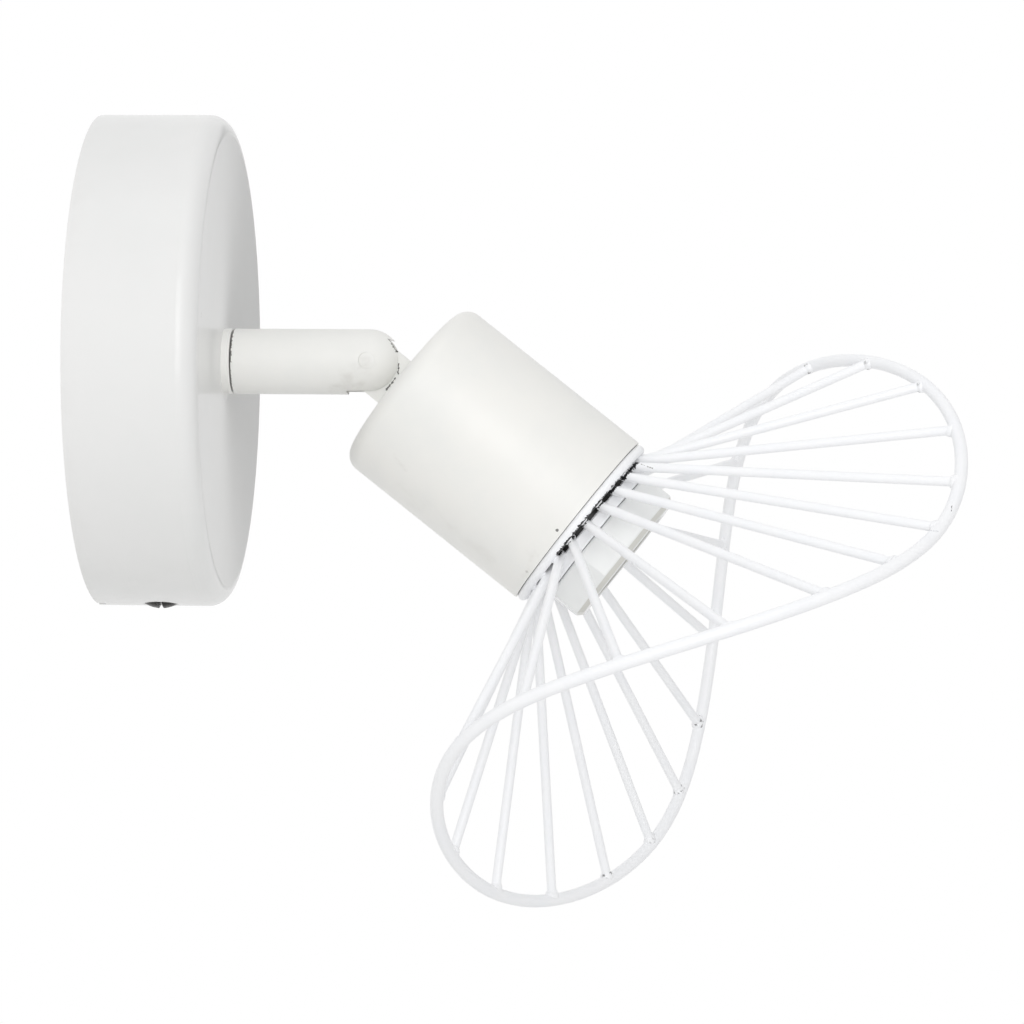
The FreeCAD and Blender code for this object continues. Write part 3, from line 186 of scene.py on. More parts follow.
def spread(tree, value, low, high, toLow=0.0, toHigh=1.0):
    # a smooth step from toLow to toHigh while the value goes from low to high
    made = node(tree, "ShaderNodeMapRange", interpolation_type="SMOOTHSTEP")
    link(tree, value, made.inputs["Value"])
    for key, amount in (("From Min", low), ("From Max", high), ("To Min", toLow), ("To Max", toHigh)):
        feed(tree, made.inputs[key], amount)
    return made.outputs["Result"]


def mixed(tree, factor, first, second):
    # on a node that mixes colours, inputs 6 and 7 are the two colours and output 2 is the mix
    made = node(tree, "ShaderNodeMix", data_type="RGBA")
    feed(tree, made.inputs["Factor"], factor)
    feed(tree, made.inputs[6], first)
    feed(tree, made.inputs[7], second)
    return made.outputs[2]


def mixedShader(tree, factor, first, second):
    made = node(tree, "ShaderNodeMixShader")
    for socket, source in zip(made.inputs, (factor, first.outputs[0], second.outputs[0])):
        link(tree, source, socket)
    return made


def seenRay(tree):
    # 1 for a ray from the camera, a reflection or a transmission, else 0
    path = node(tree, "ShaderNodeLightPath")
    some = maths(tree, "ADD", path.outputs["Is Camera Ray"], path.outputs["Is Glossy Ray"], clamp=True)
    return maths(tree, "ADD", some, path.outputs["Is Transmission Ray"], clamp=True)


def addRoom(settings):
    # the light of the room: white where it is seen, the ambient level elsewhere, darker ahead and at one end
    world = bpy.data.worlds.new("studioWorld")
    bpy.context.scene.world = world
    world.use_nodes = True
    tree = world.node_tree
    background = tree.nodes["Background"]
    background.inputs["Color"].default_value = white
    way = node(tree, "ShaderNodeSeparateXYZ")
    link(tree, node(tree, "ShaderNodeTexCoord").outputs["Generated"], way.inputs[0])
    out = maths(tree, "MULTIPLY", way.outputs["Y"], -1.0)
    dark = settings["darkEnd"]
    rise, fall = spread(tree, out, *dark["rise"]), spread(tree, out, *dark["fall"], 1.0, 0.0)
    band = maths(tree, "MULTIPLY", rise, fall)
    band = maths(tree, "MULTIPLY", band, spread(tree, way.outputs["X"], *dark["side"]))
    band = maths(tree, "MULTIPLY", band, node(tree, "ShaderNodeLightPath").outputs["Is Glossy Ray"])
    ahead = settings["darkAhead"]
    soft = spread(tree, out, *ahead["from"], settings["ambient"], settings["ambient"] * (1 - ahead["depth"]))
    full = maths(tree, "MAXIMUM", seenRay(tree), soft)
    darkness = maths(tree, "MULTIPLY", band, dark["depth"])
    link(tree, maths(tree, "SUBTRACT", full, darkness), background.inputs["Strength"])


def addFloor(settings):
    # pale paper that is shaded around the lamp and turns plain white further out
    reach, height = settings["floorReach"], settings["floorHeight"]
    mesh = bpy.data.meshes.new("studioFloor")
    corners = [(x * reach, y * reach, height) for x, y in ((-1, -1), (1, -1), (1, 1), (-1, 1))]
    mesh.from_pydata(corners, [], [(0, 1, 2, 3)])
    floor = bpy.data.objects.new("studioFloor", mesh)
    bpy.context.scene.collection.objects.link(floor)
    paper = bpy.data.materials.new("paleFloor")
    paper.use_nodes = True
    tree = paper.node_tree
    plain = tree.nodes["Principled BSDF"]
    for key, value in settings["floorPaper"].items():
        plain.inputs[key].default_value = value
    glow = node(tree, "ShaderNodeEmission")
    glow.inputs["Color"].default_value = white
    centre = (*settings["shadowCentre"], height)
    away = vectorMaths(tree, "DISTANCE", node(tree, "ShaderNodeTexCoord").outputs["Object"], centre)
    bright = maths(tree, "MULTIPLY", spread(tree, away, *settings["shadowReach"]), seenRay(tree))
    shown = mixedShader(tree, bright, plain, glow)
    # from underneath the camera looks through the floor
    beneath = maths(tree, "MULTIPLY", node(tree, "ShaderNodeNewGeometry").outputs["Backfacing"],
                    node(tree, "ShaderNodeLightPath").outputs["Is Camera Ray"])
    surface = mixedShader(tree, beneath, shown, node(tree, "ShaderNodeBsdfTransparent"))
    link(tree, surface.outputs[0], tree.nodes["Material Output"].inputs["Surface"])
    mesh.materials.append(paper)


addLamp("keyLamp", studio["key"])
addLamp("topLamp", studio["top"])
addRoom(studio)
addFloor(studio)
bpy.context.scene.view_settings.view_transform = "Standard"
print("camera, lamps and floor set")

# in these groups a noise is (detail, roughness), an edge is where a noise starts and stops to count, and a
# change is what it does to the roughness at each end
finishOutputs = [("Colour", "colour"), ("Roughness", "value"), ("Height", "value")]
powderCoat = {"clouds": (4.0, 0.6), "cloudEdge": (0.35, 0.75), "peel": (2.0, 0.5), "peelShare": 0.35,
              "coarseScale": 0.14, "coarse": (1.0, 0.5), "dullEdge": (0.2, 0.8), "dullChange": (-0.05, 0.07)}


def coatGroup(settings):
    # powder coat: broad faint clouds in the colour, fine and coarse orange peel in the height, dull patches
    group, given, result = newGroup("powderCoat", [
        ("Coordinates", "vector", None), ("Colour", "colour", (0.9, 0.9, 0.88, 1)),
        ("Cloud Colour", "colour", (0.85, 0.85, 0.82, 1)), ("Cloud Size", "value", 40.0),
        ("Peel Size", "value", 900.0), ("Roughness", "value", 0.42),
    ], finishOutputs)
    place = given["Coordinates"]
    clouds = noise(group, place, given["Cloud Size"], *settings["clouds"])
    tint = mixed(group, spread(group, clouds, *settings["cloudEdge"]), given["Colour"], given["Cloud Colour"])
    peel = noise(group, place, given["Peel Size"], *settings["peel"])
    coarseSize = maths(group, "MULTIPLY", given["Peel Size"], settings["coarseScale"])
    coarse = noise(group, place, coarseSize, *settings["coarse"])
    height = maths(group, "ADD", maths(group, "MULTIPLY", peel, settings["peelShare"]), coarse)
    dull = spread(group, clouds, *settings["dullEdge"], *settings["dullChange"])
    link(group, tint, result["Colour"])
    link(group, maths(group, "ADD", given["Roughness"], dull), result["Roughness"])
    link(group, height, result["Height"])
    return group


tornSpecks = {"edge": (0.7, 1.0), "torn": (3.0, 0.65), "contrast": 30.0}


def speckGroup(settings):
    # small torn specks: noise above the level that Cover sets, kept within Reach of Centre
    group, given, result = newGroup("paintSpecks", [
        ("Coordinates", "vector", None), ("Centre", "vector", (0, 0, 0)), ("Reach", "value", 0.01),
        ("Size", "value", 900.0), ("Cover", "value", 0.3),
    ], [("Mask", "value")])
    away = vectorMaths(group, "DISTANCE", given["Coordinates"], given["Centre"])
    near = spread(group, maths(group, "DIVIDE", away, given["Reach"]), *settings["edge"], 1.0, 0.0)
    torn = noise(group, given["Coordinates"], given["Size"], *settings["torn"])
    cut = maths(group, "SUBTRACT", torn, maths(group, "SUBTRACT", 1.0, given["Cover"]))
    strong = maths(group, "MULTIPLY", cut, settings["contrast"], clamp=True)
    link(group, maths(group, "MULTIPLY", strong, near), result["Mask"])
    return group


tornLine = {"flatten": (0.0, 1.0, 1.0), "torn": (3.0, 0.7), "levelShare": 0.9, "contrast": 3.0}


def markGroup(settings):
    # a torn line of marks from Start to End on the side that faces -X: with x left out, clamp the foot of
    # the point on the line, then keep what is nearer than a width that noise eats away
    group, given, result = newGroup("paintMarks", [
        ("Coordinates", "vector", None), ("Start", "vector", (0, 0, 0)), ("End", "vector", (0, 0, 0.01)),
        ("Width", "value", 0.0005), ("Size", "value", 1500.0), ("Cover", "value", 0.5),
        ("Softness", "value", 0.15),
    ], [("Mask", "value")])
    spot, start, end = [vectorMaths(group, "MULTIPLY", given[key], settings["flatten"])
                        for key in ("Coordinates", "Start", "End")]
    line = vectorMaths(group, "SUBTRACT", end, start)
    reach = vectorMaths(group, "SUBTRACT", spot, start)
    share = maths(group, "DIVIDE", vectorMaths(group, "DOT_PRODUCT", reach, line),
                  vectorMaths(group, "DOT_PRODUCT", line, line), clamp=True)
    foot = node(group, "ShaderNodeVectorMath", operation="SCALE")
    link(group, line, foot.inputs[0])
    link(group, share, foot.inputs["Scale"])
    gap = vectorMaths(group, "DISTANCE", reach, foot.outputs[0])
    torn = noise(group, given["Coordinates"], given["Size"], *settings["torn"])
    level = maths(group, "MULTIPLY", maths(group, "SUBTRACT", 1.0, given["Cover"]), settings["levelShare"])
    left = maths(group, "MULTIPLY", maths(group, "SUBTRACT", torn, level), settings["contrast"])
    room = maths(group, "SUBTRACT", left, maths(group, "DIVIDE", gap, given["Width"]))
    mask = spread(group, room, 0.0, given["Softness"])
    side = node(group, "ShaderNodeSeparateXYZ")
    link(group, given["Coordinates"], side.inputs[0])
    facing = maths(group, "LESS_THAN", side.outputs["X"], 0.0)
    link(group, maths(group, "MULTIPLY", mask, facing), result["Mask"])
    return group


platedMetal = {"streaks": (3.0, 0.5), "streakShare": 0.5, "blotchScale": 160.0, "blotches": (3.0, 0.6),
               "stainEdge": (0.35, 0.7), "roughEdge": (0.3, 0.7), "roughChange": (-0.06, 0.1)}


def metalGroup(settings):
    # rolled or plated metal: fine streaks along one way and soft blotches; Streaks is the scale on each axis
    group, given, result = newGroup("platedMetal", [
        ("Coordinates", "vector", None), ("Colour", "colour", (0.7, 0.7, 0.7, 1)),
        ("Stain", "colour", (0.5, 0.5, 0.5, 1)), ("Streaks", "vector", (200.0, 2000.0, 2000.0)),
        ("Roughness", "value", 0.35),
    ], finishOutputs)
    stretched = vectorMaths(group, "MULTIPLY", given["Coordinates"], given["Streaks"])
    streaks = noise(group, stretched, 1.0, *settings["streaks"])
    blotches = noise(group, given["Coordinates"], settings["blotchScale"], *settings["blotches"])
    tone = maths(group, "ADD", maths(group, "MULTIPLY", streaks, settings["streakShare"]),
                 maths(group, "MULTIPLY", blotches, 1 - settings["streakShare"]))
    tint = mixed(group, spread(group, tone, *settings["stainEdge"]), given["Colour"], given["Stain"])
    change = spread(group, tone, *settings["roughEdge"], *settings["roughChange"])
    link(group, tint, result["Colour"])
    link(group, maths(group, "ADD", given["Roughness"], change), result["Roughness"])
    link(group, streaks, result["Height"])
    return group


mouldedPlastic = {"flowScale": 90.0, "flow": (3.0, 0.5), "flowEdge": (0.35, 0.7), "grain": (1.0, 0.5),
                  "grainEdge": (0.3, 0.7), "grainChange": (-0.04, 0.05)}


def plasticGroup(settings):
    # moulded plastic: faint flow clouds and a fine even grain
    group, given, result = newGroup("mouldedPlastic", [
        ("Coordinates", "vector", None), ("Colour", "colour", (0.8, 0.8, 0.8, 1)),
        ("Flow Colour", "colour", (0.75, 0.75, 0.75, 1)), ("Grain Size", "value", 2500.0),
        ("Roughness", "value", 0.4),
    ], finishOutputs)
    flow = noise(group, given["Coordinates"], settings["flowScale"], *settings["flow"])
    grain = noise(group, given["Coordinates"], given["Grain Size"], *settings["grain"])
    tint = mixed(group, spread(group, flow, *settings["flowEdge"]), given["Colour"], given["Flow Colour"])
    change = spread(group, grain, *settings["grainEdge"], *settings["grainChange"])
    link(group, tint, result["Colour"])
    link(group, maths(group, "ADD", given["Roughness"], change), result["Roughness"])
    link(group, grain, result["Height"])
    return group


finishGroups = {"coat": coatGroup(powderCoat), "metal": metalGroup(platedMetal),
                "plastic": plasticGroup(mouldedPlastic)}
markGroups = {"specks": speckGroup(tornSpecks), "line": markGroup(tornLine)}
barePaint = (0.035, 0.032, 0.03)
# the tone of faint smudges and of painted shade
smudgeAndShade = (0.62, 0.60, 0.565)
clearCoatRoughness = 0.12
reliefDepth = 0.0002
wornAttribute = "worn"


def useGroup(tree, shared, place, values):
    # a shared group in one material, with that material's own values
    made = node(tree, "ShaderNodeGroup", node_tree=shared)
    link(tree, place, made.inputs["Coordinates"])
    for key, value in values.items():
        feed(tree, made.inputs[key], value)
    return made.outputs


def finish(name, kind, values, bump=0.05, coat=0.0, chips=(), worn=False):
    # a Principled material whose colour, roughness and relief come from one of the groups; a worn one shows
    # bare colour as far as the mesh's attribute says, 1 where the finish has come off
    material = bpy.data.materials.new(name)
    material.use_nodes = True
    tree = material.node_tree
    shader = tree.nodes["Principled BSDF"]
    shader.inputs["Metallic"].default_value = 1.0 if kind == "metal" else 0.0
    if coat:
        shader.inputs["Coat Weight"].default_value = coat
        shader.inputs["Coat Roughness"].default_value = clearCoatRoughness
    place = node(tree, "ShaderNodeTexCoord").outputs["Object"]
    base = useGroup(tree, finishGroups[kind], place, values)
    colour = base["Colour"]
    for markKind, markColour, strength, markValues in chips:
        mask = useGroup(tree, markGroups[markKind], place, markValues)["Mask"]
        colour = mixed(tree, maths(tree, "MULTIPLY", mask, strength), colour, markColour)
    if worn:
        share = node(tree, "ShaderNodeAttribute", attribute_name=wornAttribute).outputs["Fac"]
        colour = mixed(tree, share, colour, barePaint)
    link(tree, colour, shader.inputs["Base Color"])
    link(tree, base["Roughness"], shader.inputs["Roughness"])
    relief = node(tree, "ShaderNodeBump")
    relief.inputs["Strength"].default_value = bump
    relief.inputs["Distance"].default_value = reliefDepth
    link(tree, base["Height"], relief.inputs["Height"])
    link(tree, relief.outputs["Normal"], shader.inputs["Normal"])
    return material


# rows of (kind, colour, strength, values) where the coat is chipped, rubbed or smudged and where shade is
# painted into it: places and widths are in metres at rest, Size is the scale of the noise that tears the
# mark, and Cover is how much of it is left
slotChips = [
    ("line", barePaint, 0.95, {"Start": (0, -0.0710, 0.0043), "End": (0, -0.0722, 0.0025),
                               "Width": 0.00055, "Size": 1500.0, "Cover": 0.62}),
    ("line", barePaint, 0.9, {"Start": (0, -0.0726, -0.0005), "End": (0, -0.0725, -0.0030),
                              "Width": 0.00040, "Size": 2000.0, "Cover": 0.60}),
    ("line", barePaint, 0.9, {"Start": (0, -0.0719, -0.0041), "End": (0, -0.0696, -0.0069),
                              "Width": 0.00045, "Size": 1700.0, "Cover": 0.60}),
]
# painted shadow and reflection of the cup, darker on the arm's underside beside the knuckle
kneeCupShadow = [
    ("line", smudgeAndShade, 0.55, {"Start": (0, -0.0602, -0.0040), "End": (0, -0.0652, -0.0010),
                            "Width": 0.0036, "Size": 160.0, "Cover": 0.72, "Softness": 1.6}),
    ("line", smudgeAndShade, 0.40, {"Start": (0, -0.0560, -0.0062), "End": (0, -0.0640, -0.0058),
                            "Width": 0.0022, "Size": 210.0, "Cover": 0.7, "Softness": 1.6}),
]
baseLine = [
    ("line", barePaint, 0.85, {"Start": (0, -0.03205, 0.0078), "End": (0, -0.03205, -0.0004),
                               "Width": 0.00036, "Size": 1300.0, "Cover": 0.62}),
    ("line", barePaint, 0.6, {"Start": (0, -0.03205, -0.0025), "End": (0, -0.03205, -0.0076),
                              "Width": 0.00018, "Size": 1500.0, "Cover": 0.6}),
]
cupSpeck = (0.35, 0.33, 0.30)
cupMarks = [
    ("specks", barePaint, 0.8, {"Centre": (-0.0236, -0.1126, -0.0408), "Reach": 0.00045,
                                "Size": 1500.0, "Cover": 0.6}),
    ("specks", cupSpeck, 0.6, {"Centre": (-0.0166, -0.1054, -0.0504), "Reach": 0.0009,
                               "Size": 1300.0, "Cover": 0.5}),
    # two soft darker streaks, across the lower lip of the mouth and low near the back of the cup
    ("line", smudgeAndShade, 0.34, {"Start": (0, -0.1046, -0.0520), "End": (0, -0.1075, -0.0452),
                            "Width": 0.0030, "Size": 230.0, "Cover": 0.62, "Softness": 1.4}),
    ("line", smudgeAndShade, 0.20, {"Start": (0, -0.0734, -0.0231), "End": (0, -0.0757, -0.0267),
                            "Width": 0.0016, "Size": 420.0, "Cover": 0.62, "Softness": 1.2}),
    # painted shade: darker along the cup's lower near side, away from the light
    ("line", smudgeAndShade, 0.26, {"Start": (0, -0.0740, -0.0300), "End": (0, -0.0960, -0.0480),
                            "Width": 0.0034, "Size": 120.0, "Cover": 0.66, "Softness": 1.8}),
]
canopySpeck = (0.4, 0.38, 0.35)
canopyMarks = [
    ("specks", canopySpeck, 0.7, {"Centre": (-0.0480, -0.0306, 0.0084), "Reach": 0.0009,
                                  "Size": 1500.0, "Cover": 0.45}),
    # two faint darker streaks, along the back edge and low at the back of the side
    ("line", smudgeAndShade, 0.16, {"Start": (0, -0.0010, 0.0500), "End": (0, -0.0010, -0.0500),
                            "Width": 0.0050, "Size": 70.0, "Cover": 0.66, "Softness": 1.8}),
    ("line", smudgeAndShade, 0.14, {"Start": (0, -0.0100, -0.0560), "End": (0, -0.0250, -0.0500),
                            "Width": 0.0060, "Size": 90.0, "Cover": 0.62, "Softness": 1.8}),
]
gapShadeBlack = (0.012, 0.012, 0.014)
coolGrey = (0.32, 0.34, 0.38)
warmGrey = (0.25, 0.24, 0.22)
# the first two rows are painted shade and bare steel: black along the narrow gap between the base ring and
# the washer
wireMarks = [
    ("line", gapShadeBlack, 1.0, {"Start": (0, -0.13102, -0.02440), "End": (0, -0.12306, -0.03387),
                             "Width": 0.00075, "Size": 1150.0, "Cover": 0.70}),
    ("line", gapShadeBlack, 1.0, {"Start": (0, -0.12306, -0.03387), "End": (0, -0.11280, -0.04647),
                             "Width": 0.00080, "Size": 1050.0, "Cover": 0.68}),
    ("line", barePaint, 0.85, {"Start": (0, -0.20466, -0.0345), "End": (0, -0.20446, -0.0357),
                               "Width": 0.00018, "Size": 2100.0, "Cover": 0.6}),
    ("line", coolGrey, 0.7, {"Start": (0, -0.1985, -0.0402), "End": (0, -0.2012, -0.0404),
                             "Width": 0.00016, "Size": 2300.0, "Cover": 0.55}),
    ("line", warmGrey, 0.75, {"Start": (0, -0.1320, -0.0247), "End": (0, -0.1348, -0.0257),
                              "Width": 0.00030, "Size": 1700.0, "Cover": 0.55}),
]


def plastic(colour, flowColour, roughness, bump=0.05):
    values = {"Colour": colour, "Flow Colour": flowColour, "Roughness": roughness}
    return {"kind": "plastic", "bump": bump, "values": values}


def metal(colour, stain):
    return {"kind": "metal", "values": {"Colour": colour, "Stain": stain}}


warmWhite = {"Colour": (0.880, 0.877, 0.852), "Cloud Colour": (0.856, 0.858, 0.834), "Roughness": 0.42}
bluishWhite = {"Colour": (0.965, 0.970, 0.985), "Cloud Colour": (0.945, 0.955, 0.978), "Roughness": 0.34,
               "Cloud Size": 120.0}
finishes = {
    "canopyPaint": {"kind": "coat", "coat": 0.45, "chips": canopyMarks,
                    "values": {"Colour": (0.822, 0.822, 0.816), "Cloud Colour": (0.802, 0.806, 0.798),
                               "Cloud Size": 28.0, "Roughness": 0.40}},
    "armPaint": {"kind": "coat", "chips": slotChips + kneeCupShadow + baseLine,
                 "values": {**warmWhite, "Cloud Size": 70.0}},
    "cupPaint": {"kind": "coat", "chips": cupMarks,
                 "values": {**warmWhite, "Colour": (0.890, 0.883, 0.852), "Cloud Size": 45.0,
                            "Roughness": 0.36}},
    "wirePaint": {"kind": "coat", "bump": 0.04, "chips": wireMarks, "values": bluishWhite},
    "weldPaint": {"kind": "coat", "bump": 0.15, "worn": True, "values": {**bluishWhite, "Peel Size": 1400.0}},
    "blackThermoset": plastic((0.022, 0.021, 0.020), (0.030, 0.027, 0.025), 0.38),
    "nutThermoset": plastic((0.90, 0.91, 0.905), (0.87, 0.88, 0.875), 0.22, 0.015),
    # painted shade on the ring nut's front chamfer band
    "nutShadedBand": plastic((0.70, 0.695, 0.655), (0.64, 0.635, 0.60), 0.34, 0.02),
    "zincPlate": metal((0.66, 0.67, 0.68), (0.52, 0.53, 0.55)),
    "springSteel": metal((0.46, 0.46, 0.47), (0.33, 0.33, 0.34)),
    "darkScrew": metal((0.035, 0.033, 0.030), (0.018, 0.017, 0.016)),
    "brass": metal((0.78, 0.60, 0.30), (0.62, 0.45, 0.20)),
    "nickel": metal((0.74, 0.70, 0.62), (0.58, 0.53, 0.44)),
    "thermoset": plastic((0.87, 0.865, 0.835), (0.84, 0.835, 0.80), 0.32),
    "polyamide": plastic((0.80, 0.79, 0.74), (0.74, 0.73, 0.68), 0.5),
    "brownSheath": plastic((0.16, 0.065, 0.025), (0.12, 0.05, 0.02), 0.45),
    "blueSheath": plastic((0.03, 0.11, 0.42), (0.025, 0.09, 0.34), 0.45),
    "greenSheath": plastic((0.20, 0.42, 0.05), (0.17, 0.36, 0.04), 0.45),
}
materials = {name: finish(name, **look) for name, look in finishes.items()}
nodeFinish = {
    "canopy": "canopyPaint", "arm_base_collar": "armPaint", "arm": "armPaint", "hinge_pin": "armPaint",
    "knuckle_tongue": "armPaint", "lamp_cup": "cupPaint",
    "shade_washer": "wirePaint", "shade_base_ring": "wirePaint", "shade_spokes": "wirePaint",
    "shade_rim": "wirePaint",
    "wall_bracket": "zincPlate", "hollow_stud": "zincPlate", "stud_nut": "zincPlate",
    "stud_flat_washer": "zincPlate", "cup_nut": "zincPlate", "earth_ring_tag": "zincPlate",
    "terminal_clamp_screws": "zincPlate", "terminal_block_screw": "zincPlate",
    "lampholder_screws": "zincPlate", "swivel_stop_pin": "zincPlate",
    "stud_disc_spring": "springSteel", "cup_tooth_washer": "springSteel",
    "canopy_side_screws": "darkScrew",
    "terminal_sleeves": "brass", "bracket_earth_screw": "brass", "centre_contact": "brass",
    "threaded_shell": "nickel",
    "lampholder_cap": "blackThermoset", "lampholder_skirt": "blackThermoset", "contact_block": "thermoset",
    "shade_ring_nut": "nutThermoset",
    "terminal_block": "polyamide",
    "canopy_lead_brown": "brownSheath", "arm_lead_brown": "brownSheath", "head_lead_brown": "brownSheath",
    "canopy_lead_blue": "blueSheath", "arm_lead_blue": "blueSheath", "head_lead_blue": "blueSheath",
    "earth_lead": "greenSheath",
}
for name, key in nodeFinish.items():
    data = nodes[name].data
    data.materials.clear()
    data.materials.append(materials[key])
print("materials built:", len(materials))

mergeDistance = 1e-7


def gridFaces(rows, columns, loopRows, start):
    # quads between neighbouring rows and columns of a grid of points; the columns close on themselves
    row = np.arange(rows if loopRows else rows - 1)[:, None]
    column = np.arange(columns)[None, :]
    nextRow, nextColumn = (row + 1) % rows, (column + 1) % columns
    corners = (row * columns + column, row * columns + nextColumn, nextRow * columns + nextColumn,
               nextRow * columns + column)
    return np.stack(np.broadcast_arrays(*corners), -1).reshape(-1, 4) + start


def addPiece(name, grids, material, body, loopRows=False, sharp=32.0, worn=None):
    # one object from grids of points (piece, row, column, xyz), in metres at rest; rows that meet in a
    # point close as poles, and worn gives each point's share of lost finish
    count, rows, columns = grids.shape[:3]
    faces = [gridFaces(rows, columns, loopRows, index * rows * columns) for index in range(count)]
    mesh = bpy.data.meshes.new(name)
    mesh.from_pydata(grids.reshape(-1, 3), [], np.concatenate(faces))
    if worn is not None:
        layer = mesh.attributes.new(wornAttribute, "FLOAT", "POINT")
        layer.data.foreach_set("value", worn.ravel().astype(np.float32))
    work = bmesh.new()
    work.from_mesh(mesh)
    bmesh.ops.remove_doubles(work, verts=work.verts, dist=mergeDistance)
    bmesh.ops.recalc_face_normals(work, faces=work.faces)
    work.to_mesh(mesh)
    work.free()
    mesh.polygons.foreach_set("use_smooth", np.ones(len(mesh.polygons), bool))
    mesh.set_sharp_from_angle(angle=math.radians(sharp))
    mesh.materials.append(materials[material])
    piece = bpy.data.objects.new(name, mesh)
    bpy.context.scene.collection.objects.link(piece)
    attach(piece, body)
    return piece


def around(radius, angle, height):
    # (r cos a, r sin a, h)
    return np.stack(np.broadcast_arrays(radius * np.cos(angle), radius * np.sin(angle), height), -1)


ringNut = {
    "across": 0.036216,
    "cornerRound": 0.0006,
    "turn": 17.7,
    "bore": 0.0141,
    "back": 0.0701,
    "front": 0.0794,
    # how far each outer ring of points stands in from the flats, and how far it is from an end face
    "backRows": ((0.00085, 0.0), (0.00062, 0.00003), (0.00008, 0.00056), (0.0, 0.00078)),
    "frontRows": ((0.0, 0.00172), (0.00004, 0.0015), (0.00016, 0.00128), (0.00128, 0.00012),
                  (0.00144, 0.00003), (0.0017, 0.0)),
    "boreRows": ((0.0005, 0.0), (0.0001, 0.00018), (0.0, 0.0005)),
    # the front chamfer band, painted shade as a darker beige copy of the nut's plastic, lies between these
    # two of the front rows
    "shadedBandRows": (2, 3),
    # on each round corner and on each flat
    "points": 9,
    "sharp": 50.0,
}


def eightSided(angle, flat, cornerRound):
    # radius of an octagon with round corners: flat / cos(22.5 - p) on the flats, and
    # c cos p + sqrt(q^2 - c^2 sin^2 p) on the corners, p the angle from the nearest corner
    eighth = math.pi / 8
    p = np.abs((angle + eighth) % (2 * eighth) - eighth)
    c = (flat - cornerRound) / math.cos(eighth)
    edge = math.atan2(cornerRound * math.sin(eighth), c + cornerRound * math.cos(eighth))
    corner = c * np.cos(p) + np.sqrt(np.maximum(cornerRound ** 2 - (c * np.sin(p)) ** 2, 0))
    return np.where(p < edge, corner, flat / np.cos(eighth - p)), edge


def buildRingNut(settings):
    # rings of points that close on themselves: out of the bore, over the back, along the flats, over the
    # front and into the bore, each ring at its own inset and height
    flat, back, front = settings["across"] / 2, settings["back"], settings["front"]
    edge = eightSided(np.zeros(1), flat, settings["cornerRound"])[1]
    step = math.pi / 4
    corner = np.linspace(-edge, edge, settings["points"])
    straight = np.linspace(edge, step - edge, settings["points"])[1:-1]
    angle = (np.arange(8)[:, None] * step + np.concatenate([corner, straight])).ravel()
    turned = angle + math.radians(settings["turn"])

    def outerRow(inset, height):
        return around(eightSided(angle, flat - inset, settings["cornerRound"])[0], turned, height)

    rows = [around(settings["bore"] + out, turned, back + up) for out, up in settings["boreRows"][::-1]]
    rows += [outerRow(inset, back + up) for inset, up in settings["backRows"]]
    rows += [outerRow(inset, front - up) for inset, up in settings["frontRows"]]
    rows += [around(settings["bore"] + out, turned, front - up) for out, up in settings["boreRows"]]
    piece = addPiece("ringNut", onHead(np.stack(rows))[None], "nutThermoset", "lamp_head",
                     True, settings["sharp"])
    mesh = piece.data
    # painted shade: the faces of the front chamfer band take the darker beige material
    mesh.materials.append(materials["nutShadedBand"])
    low, high = (front - settings["frontRows"][index][1] for index in settings["shadedBandRows"])
    centres = np.empty(len(mesh.polygons) * 3)
    mesh.polygons.foreach_get("center", centres)
    start, end = onHead(np.array([[0, 0, 0.0], [0, 0, 1.0]]))
    level = (centres.reshape(-1, 3) - start) @ (end - start)
    mesh.polygons.foreach_set("material_index", ((level > low) & (level < high)).astype(np.int32))
    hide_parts("shade_ring_nut")


buildRingNut(ringNut)
print("ring nut built")

stud = {"radius": 0.00495, "bore": 0.0039, "back": 0.0222, "front": 0.0409, "pitch": 0.001, "depth": 0.00055,
        "flankSlope": 1.15, "crestFlat": 0.08, "columns": 64, "rowsPerTurn": 10, "lead": 0.0006}


def buildStud(settings):
    # outside r = R - d max(s w - c, cone), with w = |2 frac(h / pitch - a / 2 pi) - 1|: the slope s and the
    # flat c shape the thread, the cone runs it out at both ends, and the bore is smooth
    back, front = settings["back"], settings["front"]
    angle = np.linspace(0, 2 * math.pi, settings["columns"], endpoint=False)
    count = int((front - back) / settings["pitch"] * settings["rowsPerTurn"])
    height = np.linspace(back, front, count)[:, None]
    wave = np.abs(2 * ((height / settings["pitch"] - angle / (2 * math.pi)) % 1) - 1)
    thread = np.clip(settings["flankSlope"] * wave - settings["crestFlat"], 0, 1)
    cone = np.clip(1 - np.minimum(height - back, front - height) / settings["lead"], 0, 1)
    outer = settings["radius"] - settings["depth"] * np.maximum(thread, cone)
    inner = np.stack([around(settings["bore"], angle, front), around(settings["bore"], angle, back)])
    rows = np.concatenate([around(outer, angle, height), inner])
    piece = addPiece("threadedStud", onWall(rows)[None], "zincPlate", "swivel_arm", True)
    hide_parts("hollow_stud")


buildStud(stud)

shell = {"radius": 0.00675, "wave": 0.00035, "sheet": 0.00034, "pitch": 0.002822, "back": 0.0565,
         "front": 0.0735, "flange": 0.011, "flangeSheet": 0.0005, "columns": 96, "rows": 90, "lead": 0.0012}


